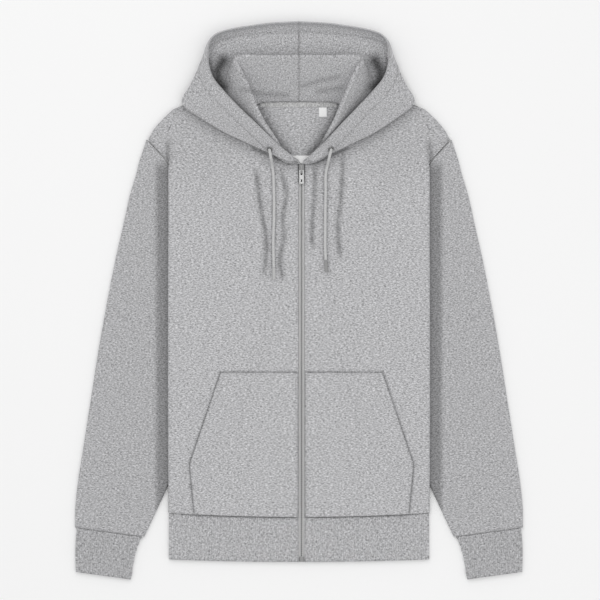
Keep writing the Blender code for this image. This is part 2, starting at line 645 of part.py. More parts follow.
def build_zip():
    ys = rows_between(213.0, -333.7, 75.0) + [-370.0, HEM_END_Y + 6.0]
    ys = [y for y in ys if y <= 213.0]
    for side, name in ((-1, "left"), (1, "right")):
        rows = []
        for y in ys:
            xs = ZIP_X + side * np.array([1.0, TAPE_HALF])
            xs = xs if side > 0 else xs[::-1]
            z = UPPER_LAYER - FLEECE / 2 - SEAM_GAP - TAPE_WALL / 2 + 0 * xs
            rows.append(np.stack([xs, y - HEM_SAG * smooth((-180.0 - y) / 150.0) + 0 * xs, z], 1))
        sheet(f"zip_tape_{name}", np.array(rows), TAPE_WALL, tape)
    tape_top = UPPER_LAYER - FLEECE / 2 - SEAM_GAP
    foot = HEM_END_Y - 3.6
    top = SLIDER_Y - SLIDER_SIZE[1] / 2 - SEAM_GAP
    stop = foot + BOX_SIZE[1] + SEAM_GAP
    box("zip_chain", (CHAIN_WIDTH, top - stop, CHAIN_HEIGHT),
        (ZIP_X, (top + stop) / 2, tape_top + SEAM_GAP + CHAIN_HEIGHT / 2), zipper, 0.7)
    box("zip_box", (BOX_SIZE[0] - 1.6, BOX_SIZE[1], BOX_SIZE[2] - 1.2),
        (ZIP_X, foot + BOX_SIZE[1] / 2, tape_top + SEAM_GAP + (BOX_SIZE[2] - 1.2) / 2), zipper, 0.9)
    base = tape_top + SEAM_GAP
    roof = base + SLIDER_SIZE[2]
    slider = box("zip_slider", (SLIDER_SIZE[0] - 2.0, SLIDER_SIZE[1], SLIDER_SIZE[2]),
                 (ZIP_X, SLIDER_Y, base + SLIDER_SIZE[2] / 2), metal, 1.2)
    arch_y = SLIDER_Y + 0.6
    arch = tool("bridge", (BRIDGE_SIZE[0], BRIDGE_SIZE[1], BRIDGE_SIZE[2] + 0.8),
                (ZIP_X, arch_y, roof + (BRIDGE_SIZE[2] - 0.8) / 2))
    combine(slider, arch, "UNION")
    clear = (BRIDGE_SIZE[2] - BRIDGE_BAR) / 2
    slot = tool("slot", (12.0, BRIDGE_SIZE[1] - 2 * BRIDGE_BAR, 2 * clear),
                (ZIP_X, arch_y, roof + clear))
    combine(slider, slot, "DIFFERENCE")
    pivot_z = roof + clear
    tab_top = PIVOT_Y + TAB_SIZE[2] / 2
    tab = box("pull_tab", TAB_SIZE, (ZIP_X, tab_top - TAB_SIZE[1] / 2, pivot_z), metal, 0.0)
    eye = tool("eye", (TAB_SIZE[0] - 3.0, 6.4, 4.0), (ZIP_X, tab_top - 1.2 - 3.2, pivot_z))
    hole = tool("hole", (2.6, 4.6, 4.0), (ZIP_X, tab_top - TAB_SIZE[1] + 4.4, pivot_z))
    combine(tab, eye, "DIFFERENCE")
    combine(tab, hole, "DIFFERENCE")
    return pivot_z


def eyelet_place(side):
    """Centre and outward direction of an eyelet, on the outside of the hood."""
    grid = hood_grid(side, np.linspace(0.0, len(HOOD_SEAM) - 1, 61))
    if side < 0:
        grid = grid[:, ::-1]
    row = EYELET_AT[0] * 60
    column = EYELET_AT[1] / 4 * (grid.shape[1] - 1)
    i, j = int(row), int(column)
    point = grid[i, j] + (grid[i, j + 1] - grid[i, j]) * (column - j)
    across = grid[i, j + 1] - grid[i, j - 1]
    along = grid[i + 1, j] - grid[i - 1, j]
    normal = np.cross(across, along)
    normal /= np.linalg.norm(normal)
    if normal[2] < 0:
        normal = -normal
    return point, normal


def cord_drop(start, aim):
    """Points of a cord that rises from its eyelet, turns over and comes down to its level."""
    rise, fall = math.radians(CORD_RISE), math.radians(CORD_FALL)
    over, up = np.linspace(rise, -fall, 9), np.linspace(-fall, 0.0, 6)
    s = CORD_BEND * (math.sin(rise) - np.sin(over))
    z = CORD_BEND * (np.cos(over) - math.cos(rise))
    straight = (start[2] - aim[2] + z[-1] + CORD_BEND * (math.cos(fall) - 1.0)) / math.sin(fall)
    foot = s[-1] + straight * math.cos(fall), z[-1] - straight * math.sin(fall)
    s = np.append(s, foot[0] + CORD_BEND * (np.sin(up) + math.sin(fall)))
    z = np.append(z, foot[1] + CORD_BEND * (math.cos(fall) - np.cos(up)))
    ahead = (aim - start)[:2] / np.linalg.norm((aim - start)[:2])
    return np.column_stack([start[:2] + np.outer(s, ahead), start[2] + z])


def build_cords():
    for side, name, path in ((-1, "left", CORD_LEFT), (1, "right", CORD_RIGHT)):
        centre, normal = eyelet_place(side)
        at = centre + normal * (HOOD_WALL / 2 + SEAM_GAP + EYELET_WIRE)
        bpy.ops.mesh.primitive_torus_add(
            major_radius=EYELET_RADIUS * MM, minor_radius=EYELET_WIRE * MM,
            major_segments=14, minor_segments=5)
        ring = bpy.context.object
        ring.name = f"eyelet_{name}"
        ring.data.name = ring.name
        for place_in in list(ring.users_collection):
            place_in.objects.unlink(ring)
        home.objects.link(ring)
        ring.data.materials.append(metal)
        spin = np.array([-normal[1], normal[0], 0.0])
        angle = math.atan2(np.linalg.norm(spin), normal[2])
        ring.rotation_mode = "AXIS_ANGLE"
        spin = spin / max(np.linalg.norm(spin), 1e-9)
        ring.rotation_axis_angle = (angle, *spin)
        ring.location = at * MM
        start = centre + normal * (HOOD_WALL / 2 + SEAM_GAP + CORD_OUT)
        lift = SEAM_GAP + CORD_RADIUS + CORD_CLEAR
        lie = [(x, y, front_top(x, y)[0] + lift) for x, y in path]
        line = [*cord_drop(start, np.array(lie[1])), *lie[2:]]
        total = np.linalg.norm(np.diff(np.array(line), axis=0), axis=1).sum()
        shares = np.linspace(0.0, 1.0, round(total / CORD_STEP) + 1)
        near = np.linspace(0.0, shares[4], 10)[:-1]
        points = curve(line, np.concatenate([near, shares[4:]]))
        low = front_top(points[:, 0], points[:, 1]) + 3 * SEAM_GAP + CORD_RADIUS
        points[:, 2] = np.maximum(points[:, 2], low)
        cord(f"drawcord_{name}", points, CORD_RADIUS, cordage)
        last, back = points[-1], points[-2]
        ahead = (last - back) / np.linalg.norm(last - back)
        ahead = ahead * (1.0, 1.0, 0.0) / np.linalg.norm(ahead[:2])
        tip = [last + ahead * d + (0, 0, 0.4) for d in (0.3, TIP_LENGTH / 2, TIP_LENGTH)]
        low = max(front_top(p[0], p[1])[0] for p in tip) + SEAM_GAP + TIP_RADIUS
        for p in tip:
            p[2] = max(p[2], low)
        cord(f"cord_tip_{name}", tip, TIP_RADIUS, metal)


for old in list(bpy.data.objects):
    bpy.data.objects.remove(old, do_unlink=True)
home = bpy.data.collections.new("zip_up_hoodie")
bpy.context.scene.collection.children.link(home)
fleece = material("grey_marl_fleece", (0.42, 0.42, 0.43), 0.95)
rib = material("grey_marl_rib", (0.37, 0.37, 0.38), 0.95)
tape = material("grey_tape", (0.33, 0.33, 0.34), 0.9)
zipper = material("grey_zip", (0.25, 0.25, 0.26), 0.6)
label = material("white_label", (0.8, 0.8, 0.8), 0.8)
cordage = material("grey_cord", (0.36, 0.36, 0.37), 0.9)
metal = material("silver_metal", (0.6, 0.6, 0.61), 0.3, 1.0)
build_body()
build_labels()
PIVOT_Z = build_zip()
build_cords()
pull = bpy.data.objects.new("pull_tab_axis", None)
pull.location = (ZIP_X * MM, PIVOT_Y * MM, PIVOT_Z * MM)
home.objects.link(pull)
bpy.context.view_layer.update()
tab_object = bpy.data.objects["pull_tab"]
tab_object.parent = pull
tab_object.matrix_parent_inverse = pull.matrix_world.inverted()
print("pivot", ZIP_X, PIVOT_Y, round(PIVOT_Z, 3))
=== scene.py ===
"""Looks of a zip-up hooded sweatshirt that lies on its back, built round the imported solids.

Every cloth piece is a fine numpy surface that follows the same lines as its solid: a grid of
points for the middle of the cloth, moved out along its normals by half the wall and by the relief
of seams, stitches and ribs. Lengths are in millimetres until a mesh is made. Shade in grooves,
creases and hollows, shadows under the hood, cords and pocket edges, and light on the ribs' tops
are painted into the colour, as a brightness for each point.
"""

from __future__ import annotations

import functools
import logging
import math
from collections.abc import Callable
from dataclasses import dataclass, field
from enum import Enum
from typing import ClassVar

import bpy
import numpy as np
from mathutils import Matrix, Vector


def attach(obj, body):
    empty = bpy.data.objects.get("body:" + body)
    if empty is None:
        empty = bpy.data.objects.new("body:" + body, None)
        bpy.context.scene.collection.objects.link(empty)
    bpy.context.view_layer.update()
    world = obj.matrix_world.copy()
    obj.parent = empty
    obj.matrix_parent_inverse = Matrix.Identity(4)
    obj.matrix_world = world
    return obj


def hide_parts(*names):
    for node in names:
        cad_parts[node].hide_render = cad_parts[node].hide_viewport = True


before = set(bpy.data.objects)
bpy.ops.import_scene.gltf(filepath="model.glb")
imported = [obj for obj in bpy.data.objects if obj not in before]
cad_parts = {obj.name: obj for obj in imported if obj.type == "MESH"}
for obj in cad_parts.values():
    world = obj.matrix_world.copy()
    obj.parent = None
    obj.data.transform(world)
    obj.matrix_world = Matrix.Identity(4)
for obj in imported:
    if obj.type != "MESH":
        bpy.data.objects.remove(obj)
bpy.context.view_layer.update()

log = logging.getLogger("hoodie")

MM = 0.001
Array = np.ndarray

FAR_AWAY = 1e9  # a distance past any other, in mm

# Cloth walls and levels, as in the solids
FLEECE, HOOD_WALL, RIB_WALL, RIB_RISE, RIB_UPPER = 2.0, 2.4, 1.5, 0.8, 3.9
SEAM_GAP = 0.3
FLOOR_LAYER, UPPER_LAYER = 1.0, 4.8
BETWEEN_LAYERS = 3.0  # a level between the two
ZIP_X, ZIP_GAP = 4.0, 4.5
NECK_Y, ZIP_TOP_Y, BODY_END_Y, SEAM_FOOT_Y = 312.0, 214.0, -333.7, -341.0
HEM_SEAM_Y, HEM_END_Y, HEM_SAG, HEM_END_SAG = -334.0, -406.5, 6.5, 4.0
HEM_X = 204.6  # half width of the band
BOW_FROM, BOW_OVER = -180.0, 150.0  # rows begin to bow towards the hem here, over this length
FOLD_X = 204.0  # half width of the body at its folds
SLOPE, SLOPE_AIR = 70.0, 1.6
SLOPE_LEFT = 32.0  # the middle of the body stays level at least this far out
SLOPE_CLEAR = 5.0  # the climb ends this far before the hidden sleeve
FOOT_Y, FOOT_X = -291.0, 196.0  # below this the climb ends there
BACK_INSET, SEAM_INSET = 2.3, 4.6  # the back's fold is inside the front's, and more so near seams
SEAM_STRETCHES = ((205.0, 226.0), (-320.0, -301.0))
ARMPIT_Y, ARMPIT_X, ARMPIT_STRETCH = 205.0, 202.0, (214.0, 225.0)
BACK_SHORT = 3.5  # the back is turned under by this much less

# The side of the body, from the shoulder down. Half widths are from the middle. "edge" is the fold
# seen from above, "end" where the piece is sewn to the next: outside the fold above y 219 and
# turned under it below. top/tip are the layer's levels before and after the fold; turn is -1 for a
# step, 0 for a quarter turn down, 1 for a U turn.
SIDE = (
    # y, edge, end, front: top, tip, turn, back: top, tip, turn
    (312.0, 108.0, 136.0, 4.8, 4.8, -1.0, 1.0, 1.0, -1.0),
    (306.5, 160.0, 181.0, 4.8, 4.8, -1.0, 1.0, 1.0, -1.0),
    (299.0, 180.0, 198.0, 4.8, 4.8, -1.0, 1.0, 1.0, -1.0),
    (283.0, 196.0, 215.0, 4.8, 4.8, -1.0, 1.0, 1.0, -1.0),
    (267.0, 203.0, 228.5, 5.6, 4.8, -1.0, 1.8, 1.0, -1.0),
    (252.0, 204.0, 236.5, 8.0, 4.8, -0.9, 4.4, 1.0, -0.9),
    (236.0, 204.0, 222.0, 11.2, 4.8, -0.6, 7.8, 1.0, -0.6),
    (225.0, 204.0, 211.5, 13.0, 4.8, -0.2, 9.9, 1.0, -0.4),
    (220.0, 204.0, 204.6, 13.7, 5.0, -0.05, 10.8, 1.6, -0.1),
    (215.0, 204.0, 204.0, 14.2, 6.6, 0.0, 11.8, 9.4, 0.9),
    (209.0, 204.0, 197.5, 14.6, 7.1, 1.0, 12.3, 9.4, 1.0),
    (190.0, 204.0, 193.0, 14.9, 7.1, 1.0, 12.6, 9.4, 1.0),
    (157.0, 204.0, 180.5, 14.9, 7.1, 1.0, 12.6, 9.4, 1.0),
    (136.0, 204.0, 163.0, 14.9, 7.1, 1.0, 12.6, 9.4, 1.0),
    (123.0, 204.0, 150.0, 14.9, 7.1, 1.0, 12.6, 9.4, 1.0),
    (98.0, 204.0, 124.0, 14.9, 7.1, 1.0, 12.6, 9.4, 1.0),
    (40.0, 204.3, 135.0, 14.9, 7.1, 1.0, 12.6, 9.4, 1.0),
    (-10.0, 204.4, 145.0, 14.9, 7.1, 1.0, 12.6, 9.4, 1.0),
    (-80.0, 204.5, 158.0, 14.9, 7.1, 1.0, 12.6, 9.4, 1.0),
    (-156.0, 204.5, 172.0, 14.9, 7.1, 1.0, 12.6, 9.4, 1.0),
    (-232.0, 204.3, 186.0, 14.9, 7.1, 1.0, 12.6, 9.4, 1.0),
    (-284.0, 204.0, 194.0, 14.9, 7.1, 1.0, 12.6, 9.4, 1.0),
    (-299.0, 204.0, 196.0, 13.0, 5.6, 1.0, 10.7, 7.8, 1.0),
    (-308.0, 204.0, 198.0, 10.8, 4.0, 1.0, 8.5, 6.2, 1.0),
    (-314.0, 204.0, 204.0, 9.3, 4.2, 0.0, 6.7, 5.2, 0.6),
    (-322.0, 204.0, 204.0, 7.3, 3.8, 0.0, 3.4, 1.6, 0.0),
    (-333.7, 204.0, 204.0, 4.9, 3.4, 0.0, 1.0, 1.0, -1.0),
)

# Neckline of a front: half width against y
NECKLINE = ((312.0, 72.0), (299.0, 73.0), (283.0, 70.5), (267.0, 65.0), (252.0, 58.0),
            (236.0, 47.0), (225.0, 37.5), (220.0, 30.5), (215.0, 19.0), (214.0, 4.5), (209.0, 4.5))

# Sleeve: the two edges of the flat tube, from the armhole to the cuff seam, as (half width, y)
SLEEVE_OUTER = ((238.4, 251.5), (243.4, 236.0), (248.8, 220.0), (253.5, 201.0), (264.5, 164.0),
                (273.0, 126.0), (285.8, 69.6), (300.7, -6.0), (314.0, -81.0), (325.8, -156.5),
                (337.5, -232.0), (346.2, -288.0), (350.0, -326.0), (350.4, -356.5))
SLEEVE_INNER = ((122.0, 97.0), (104.0, 66.0), (97.5, 36.0), (96.0, -7.0), (110.0, -78.0),
                (147.0, -156.5), (181.0, -232.0), (206.5, -291.0), (226.0, -333.0), (243.8, -371.0))
ARMHOLE = ((238.4, 251.5), (222.5, 234.0), (208.0, 218.0), (197.5, 196.0), (182.0, 157.0),
           (150.5, 121.5), (122.0, 97.0))
ARMHOLE_SHARE = 0.16  # share of the sleeve in which the armhole's curve straightens
SLEEVE_TOP_Y = 97.0  # its inner edge is hidden above this
BACK_LIP = 6.8  # the back of the sleeve rises this far to the back, inside the fold
BACK_TUCK = 3.2  # and its top edge is moved this far under it

CUFF_OUTER = ((350.6, -357.0), (351.0, -392.0), (350.0, -426.0))
CUFF_INNER = ((244.2, -371.5), (251.0, -384.0), (256.0, -398.0), (263.5, -438.0))
CUFF_STEP = 2.0  # the cuff is drawn in this far from the sleeve on each side
CUFF_DRAW, CUFF_DRAW_OVER = 2.6, 0.3  # and further at its seam, over this share of its length
CUFF_PIECES = 156  # pieces across a cuff
RIB_PITCH = 3.3  # of the knitted ribs

# Hood: five lines from the centre back to the centre front, each as (half width, y, z). The cloth
# runs from the neck seam up to the ridge, down into the valley, out to the fold and up to the brim.
HOOD_SEAM = ((0.3, 312.0, 5.2), (35.0, 311.5, 5.2), (62.0, 309.0, 5.8), (72.0, 296.0, 7.6),
             (70.0, 280.0, 7.8), (64.5, 266.0, 7.8), (61.0, 259.0, 7.8), (58.5, 254.0, 7.8),
             (54.0, 246.0, 7.8), (46.0, 234.5, 7.8), (36.5, 223.5, 7.8), (20.0, 215.8, 7.8),
             (9.5, 214.6, 7.6), (2.2, 214.4, 7.4))
HOOD_RIDGE = ((0.3, 384.0, 29.0), (50.0, 384.0, 29.0), (98.0, 383.0, 30.0), (91.0, 364.0, 35.0),
              (78.0, 337.0, 37.0), (66.0, 307.0, 37.0), (56.5, 285.5, 36.0), (48.0, 271.0, 33.5),
              (38.5, 256.5, 28.0), (31.5, 246.0, 21.0), (25.5, 238.5, 13.5), (16.5, 228.0, 11.4),
              (9.1, 216.6, 8.6), (2.2, 214.9, 7.7))
HOOD_VALLEY = ((0.3, 344.0, 3.8), (47.0, 344.0, 3.8), (104.0, 350.0, 2.6), (118.0, 340.0, 7.5),
               (113.0, 318.0, 8.8), (98.0, 297.0, 9.2), (84.0, 278.0, 9.2), (74.0, 263.0, 9.4),
               (60.0, 244.6, 10.4), (44.5, 237.2, 12.6), (30.0, 233.4, 14.8), (17.5, 224.0, 15.0),
               (8.8, 218.2, 10.6), (2.2, 215.4, 8.0))
HOOD_FOLD = ((0.3, 432.0, 1.6), (62.0, 428.0, 1.6), (131.0, 414.0, 2.6), (154.0, 376.0, 6.5),
             (171.0, 339.0, 9.4), (183.0, 308.5, 10.8), (152.0, 283.0, 11.0), (112.0, 258.0, 11.2),
             (74.0, 239.8, 12.0), (53.2, 230.8, 13.2), (36.0, 223.2, 16.0), (19.5, 216.6, 16.6),
             (8.4, 219.8, 12.6), (2.1, 215.9, 8.3))
HOOD_BRIM = ((0.3, 436.6, 15.0), (60.0, 432.4, 15.0), (129.0, 417.0, 19.0), (141.0, 384.0, 30.0),
             (135.0, 352.0, 33.0), (116.0, 327.0, 34.0), (90.0, 299.5, 33.5), (66.0, 275.7, 33.2),
             (46.7, 255.7, 31.6), (35.4, 244.6, 27.6), (27.4, 237.7, 22.0), (15.0, 227.6, 21.0),
             (8.0, 221.6, 14.6), (2.0, 216.4, 8.6))
# Painted shade in the hood's side hollows, along this path seen from above
HOLLOW_SHADE = ((119.0, 376.0), (128.0, 360.0), (126.0, 346.0), (118.0, 334.0))  # darkest at the sides
# Paths of painted shade standing in for wrinkles on the hood's inside, for each side
WRINKLES = {-1: (((-88.0, 330.0), (-58.0, 324.0), (-20.0, 322.0)),),
            1: (((6.0, 336.0), (30.0, 344.0), (62.0, 350.0)), ((30.0, 328.0), (66.0, 333.0)))}
HOOD_SHIFT = ((440.0, -1.0), (300.0, -1.0), (236.0, 2.2), (215.0, 3.6))  # its middle against y
HOOD_CORNER = 11.0  # plain corners of the hood's profile are rounded from this far away
TURN_REACH = 4.5  # and the sharpest ones from here,
TURN_RADIUS = 2.5  # with at least this radius in the middle of the wall
SHARP, OPEN = 12.5, 30.0  # half angles, in degrees, of the sharpest corners and of plain ones
REACH_SHARE = 0.42  # a corner takes up no more of a side than this
TUNNEL = 22.0  # the cord's tunnel is this wide along the brim

POCKET_TOP_Y, POCKET_CORNER_Y, POCKET_BASE_Y = -113.0, -259.0, -333.0
POCKET_EDGE = ((126.5, POCKET_TOP_Y), (150.0, -182.5), (174.0, -252.0), (175.0, POCKET_CORNER_Y),
               (168.0, POCKET_BASE_Y))
POCKET_INNER = 6.2
POCKET_ROW_Y = -116.5  # stitches along its top
ZIP_ROW, POCKET_ROW = 8.6, 7.0  # stitches this far from the zip's middle and from the opening
# Middle of each cord on the front, from the eyelet down: (x, y)
CORD_LEFT = ((-42.0, 222.0), (-41.0, 205.0), (-39.5, 175.0), (-39.0, 142.0), (-40.3, 88.0),
             (-39.5, 51.5))
CORD_RIGHT = ((46.0, 222.0), (43.0, 205.0), (41.8, 170.0), (41.2, 120.0), (41.2, 80.0),
              (42.0, 63.0))
# Soft creases of the fronts: (x at the top, x at the foot, top y, foot y, rise)
CREASES = ((-64.0, -55.0, 224.0, 60.0, 1.8), (66.0, 62.0, 236.0, 62.0, 1.6),
           (-27.0, -26.0, 212.0, 34.0, 1.6), (24.0, 22.0, 212.0, 88.0, 1.4))
# and the valley beside each, a groove with painted shade along it: (x, y)
VALLEYS = {-1: (((-67.5, 205.0), (-58.1, 133.9), (-51.8, 102.5), (-55.0, 39.7)),
                ((-27.9, 205.0), (-20.0, 159.4), (-25.5, 133.9), (-23.9, 98.6), (-29.8, 63.3),
                 (-25.9, 31.9))),
           1: (((25.1, 208.5), (23.2, 149.6), (20.2, 102.5), (21.2, 82.9)),
               ((69.1, 232.0), (67.3, 181.0), (63.4, 141.8), (61.4, 110.4), (64.4, 67.2)))}
CREASE_WIDTH, CREASE_WANDER = 7.0, 1.6
CREASE_TOP, CREASE_FOOT = 14.0, 30.0  # it starts this far over its top and ends past its foot
CORD_RADIUS = 2.3
CORD_CLEAR = 0.4  # how far it lies off the cloth, past a seam's gap
CORD_OUT = 1.1  # where it starts, out of the hood's face past a seam's gap
CORD_BEND = 11.0  # radius in which it turns over at its eyelet and comes to lie on the front
CORD_RISE, CORD_FALL = 45.0, 50.0  # steepest angles up and down on the way
EYELET_AT = (0.69, 3.60)  # along the hood and up its profile
EYELET_GRID = (61, 2, 3)  # the solid's stations and pieces, on which it sits

SIDES = ((-1, "left"), (1, "right"))  # as the front is seen
CUBE = ((0, 2, 3, 1), (4, 5, 7, 6), (0, 1, 5, 4), (2, 6, 7, 3), (0, 4, 6, 2), (1, 3, 7, 5))


def table(rows: tuple, column: int, at: Array | float) -> Array:
    """A column of a table against its first column.

    Args:
        rows: the table's rows.
        column: which column to read.
        at: values of the first column.

    Returns:
        The column's values there, straight between the rows.
    """
    rows = sorted(rows)
    return np.interp(at, [row[0] for row in rows], [row[column] for row in rows])


def smooth(value: Array | float) -> Array:
    """0 below 0, 1 above 1, and a smooth climb between them."""
    value = np.clip(value, 0.0, 1.0)
    return value * value * (3.0 - 2.0 * value)


def bell(off: Array | float, width: float) -> Array:
    """1 where off is 0, falling as a round bell to next to nothing at twice the width."""
    return np.exp(-((off / width) ** 2))


def hermite(points: Array, slopes: Array, k: Array, t: Array, span: Array | float = 1.0) -> Array:
    """A cubic from each point to the next that has the slopes of both.

    Args:
        points: the points.
        slopes: the slope at each of them.
        k: number of the piece for each result.
        t: share of the way along the piece, as a column.
        span: length of the piece.

    Returns:
        One point for each k.
    """
    return ((2 * t**3 - 3 * t**2 + 1) * points[k] + (t**3 - 2 * t**2 + t) * span * slopes[k]
            + (3 * t**2 - 2 * t**3) * points[k + 1] + (t**3 - t**2) * span * slopes[k + 1])


def bezier(start: Array, one: Array, two: Array, stop: Array, t: Array) -> Array:
    """A cubic that leaves its start towards one and comes to its stop from two.

    Args:
        start: first point.
        one: handle of the first point.
        two: handle of the last.
        stop: last point.
        t: shares of the way, as a column.

    Returns:
        One point for each share.
    """
    return ((1 - t)**3 * start + 3 * (1 - t)**2 * t * one + 3 * (1 - t) * t * t * two
            + t**3 * stop)


def curve(points: tuple | Array, at: Array | float) -> Array:
    """Points on a smooth line through the given ones (cubic pieces with matched slopes).

    Args:
        points: the points that the line goes through.
        at: shares of its length, from 0 to 1.

    Returns:
        One point for each share.
    """
    points = np.array(points, float)
    length = np.concatenate([[0.0], np.cumsum(np.linalg.norm(np.diff(points, axis=0), axis=1))])
    at = np.atleast_1d(at) * length[-1]
    k = np.clip(np.searchsorted(length, at, side="right") - 1, 0, len(length) - 2)
    span = (length[k + 1] - length[k])[:, None]
    return hermite(points, np.gradient(points, length, axis=0), k, (at - length[k])[:, None] / span,
                   span)


def swell(x: Array, y: Array, seed: float = 0.0) -> Array:
    """Slow undulation of cloth that was smoothed by hand: a sum of seven crossed sine waves.

    Args:
        x: across, in mm.
        y: along, in mm.
        seed: shifts the waves, so that two pieces differ.

    Returns:
        Heights from about -1 to 1.
    """
    total = 0.0
    for k, (length, lean) in enumerate(((190, 0.3), (130, 1.9), (95, 1.1), (70, 2.6), (52, 0.8),
                                        (41, 2.2), (230, 1.5))):
        phase = seed * 2.3 + k * 1.7
        wave = (x * math.cos(lean) + y * math.sin(lean)) / length * 2 * math.pi
        total = total + np.sin(wave + phase + 0.7 * np.sin(y / 160.0 + k)) * (length / 190.0)
    return total / 3.2


def hidden_from(y: Array | float) -> Array:
    """Half width from which a sleeve or a turned side lies under the body.

    Args:
        y: heights of rows.

    Returns:
        The sleeve's inner edge, or the armhole above it, and no more than the body's fold.
    """
    below = table([(b, a) for a, b in SLEEVE_INNER], 1, y)
    above = table([(b, a) for a, b in ARMHOLE[1:]], 1, y)
    return np.minimum(FOLD_X, np.where(y < SLEEVE_TOP_Y, below, above))


def creases(x: Array, y: Array) -> Array:
    """Rise of the soft creases that hang from the neck: a round ridge about each line.

    Args:
        x: across, in mm.
        y: along, in mm.

    Returns:
        How far each point stands out.
    """
    total = 0.0
    for top_x, foot_x, top_y, foot_y, rise in CREASES:
        share = np.clip((top_y - y) / (top_y - foot_y), 0.0, 1.0)
        centre = top_x + (foot_x - top_x) * share + CREASE_WANDER * np.sin(share * 9.0 + top_x)
        ends = (smooth((top_y + CREASE_TOP - y) / 28.0)
                * smooth((y - foot_y + CREASE_FOOT) / 70.0))
        total = total + rise * ends * bell(x - centre, CREASE_WIDTH)
    return total


def level(x: Array, y: Array | float, front: bool) -> Array:
    """Middle of the front or the back over the surface, inside the folds.

    The layer climbs from its level in the middle of the body to that at the side, over the width
    in which the hidden part of the sleeve begins.

    Args:
        x: across, in mm.
        y: along, in mm.
        front: a front, or else the back.

    Returns:
        Heights in mm.
    """
    base = UPPER_LAYER if front else FLOOR_LAYER
    top = table(SIDE, 3 if front else 6, y)
    full = np.where(y < FOOT_Y, FOOT_X, hidden_from(y) - SLOPE_CLEAR)
    start = np.maximum(full - SLOPE, SLOPE_LEFT)
    share = smooth((abs(x) - start) / (full - start))
    z = base + (top - base) * share
    if front:
        z = z + SLOPE_AIR * 4.0 * share * (1.0 - share) + creases(x, y)
    return z


def turn(edge: float, top: float, tip: float, how: float, steps: int) -> Array:
    """A fold in section: one cubic curve from the layer above to the layer below.

    Args:
        edge: half width of the fold.
        top: level before it.
        tip: level after it.
        how: -1 for a step outwards, 0 for a quarter turn down, 1 for a full turn back.
        steps: number of pieces.

    Returns:
        Points (half width, z).
    """
    radius = max((top - tip) * (1.0 - 0.5 * max(how, 0.0)), 0.6)
    pull = radius * (0.552 + 0.78 * max(how, 0.0) + 0.15 * max(-how, 0.0))
    angle = math.radians(90.0 * (1.0 + how))
    start = np.array([edge - radius, top])
    stop = np.array([edge - radius * how, tip])
    a = start + (pull, 0.0)
    b = stop - pull * np.array([math.cos(angle), -math.sin(angle)])
    return bezier(start, a, b, stop, np.linspace(0.0, 1.0, steps + 1)[:, None])


def side_path(y: float, inner: float, front: bool, across: int, folded: int,
              beyond: int) -> Array:
    """One row of a body panel for x > 0, from its inner edge over the fold to its outer seam.

    Args:
        y: the row's height.
        inner: half width of the inner edge.
        front: a front, or else the back.
        across: pieces before the fold.
        folded: pieces of the fold.
        beyond: pieces after it.

    Returns:
        Points (half width, z).
    """
    pick = 3 if front else 6
    inset = SEAM_INSET if any(a < y < b for a, b in SEAM_STRETCHES) else BACK_INSET
    edge = table(SIDE, 1, y) - (0.0 if front else inset)
    end = table(SIDE, 2, y)
    how = float(table(SIDE, pick + 2, y))
    if not front and y < ARMPIT_Y:
        end = end - BACK_SHORT
    if not front and ARMPIT_STRETCH[0] <= y < ARMPIT_STRETCH[1]:
        end = min(end, ARMPIT_X)
    fold = turn(edge, float(table(SIDE, pick, y)), float(table(SIDE, pick + 1, y)), how, folded)
    x = inner + (fold[0, 0] - inner) * np.linspace(0.0, 1.0, across + 1)[:-1]
    last = fold[-1]
    rest = np.linspace(0.0, 1.0, beyond + 1)[1:]
    if how < -0.01:
        stop = max(end, last[0] + 0.4)
    elif how > 0.5:
        stop = min(end, last[0] - 0.4)
    else:
        stop = last[0] + (0.3 if how < 0 else -0.3) * abs(how)
    far = np.stack([last[0] + (stop - last[0]) * rest,
                    last[1] - (0.25 if abs(how) < 0.3 else 0.0) * rest], 1)
    return np.concatenate([np.stack([x, level(x, y, front)], 1), fold, far])


def hem_line(x: Array, y: Array | float) -> Array:
    """Rows near the hem bow down towards the middle."""
    near = smooth((BOW_FROM - y) / BOW_OVER)
    return y - HEM_SAG * near * (1.0 - np.minimum(abs(x) / FOLD_X, 1.0) ** 2)


def fine_rows(step: float, keep: tuple = ()) -> Array:
    """Row heights from the neck to the foot of the body, with the lines of SIDE among them.

    Args:
        step: most between two rows.
        keep: further heights that must be rows.

    Returns:
        The heights, from the top down.
    """
    lines = sorted({row[0] for row in SIDE if BODY_END_Y < row[0] < NECK_Y}
                   | {NECK_Y, BODY_END_Y, *keep}, reverse=True)
    rows = [lines[0]]
    for a, b in zip(lines, lines[1:]):
        count = max(1, math.ceil((a - b) / step))
        rows += [a + (b - a) * (k + 1) / count for k in range(count)]
    return np.array(rows)


@functools.lru_cache(maxsize=None)
def front_grid(side: int, step: float = 3.0, across: int = 112) -> Array:
    """Middle surface of a front, rows from the neck to the hem.

    Args:
        side: -1 on the left of the view, 1 on the right.
        step: most between rows.
        across: pieces from the zip to the fold.

    Returns:
        Grid of points (rows, columns, xyz).
    """
    rows = []
    for y in fine_rows(step, (ZIP_TOP_Y,)):
        inner = float(table(NECKLINE, 1, y)) + (ZIP_X * side if y <= ZIP_TOP_Y else 0.0)
        path = side_path(y, inner, True, across, 12, 6)
        x = path[:, 0]
        rows.append(np.stack([x * side, hem_line(x, y), path[:, 1]], 1))
    grid = np.array(rows)
    return grid if side > 0 else grid[:, ::-1]


def back_grid(step: float = 8.0, across: int = 26) -> Array:
    """Middle surface of the back, turned under at both sides.

    Args:
        step: most between rows.
        across: pieces from the middle to the fold.

    Returns:
        Grid of points (rows, columns, xyz).
    """
    rows = []
    for y in fine_rows(step):
        half = side_path(y, 0.0, False, across, 8, 3)
        path = np.concatenate([half[:0:-1] * (-1.0, 1.0), half])
        rows.append(np.stack([path[:, 0], hem_line(path[:, 0], y), path[:, 1]], 1))
    return np.array(rows)


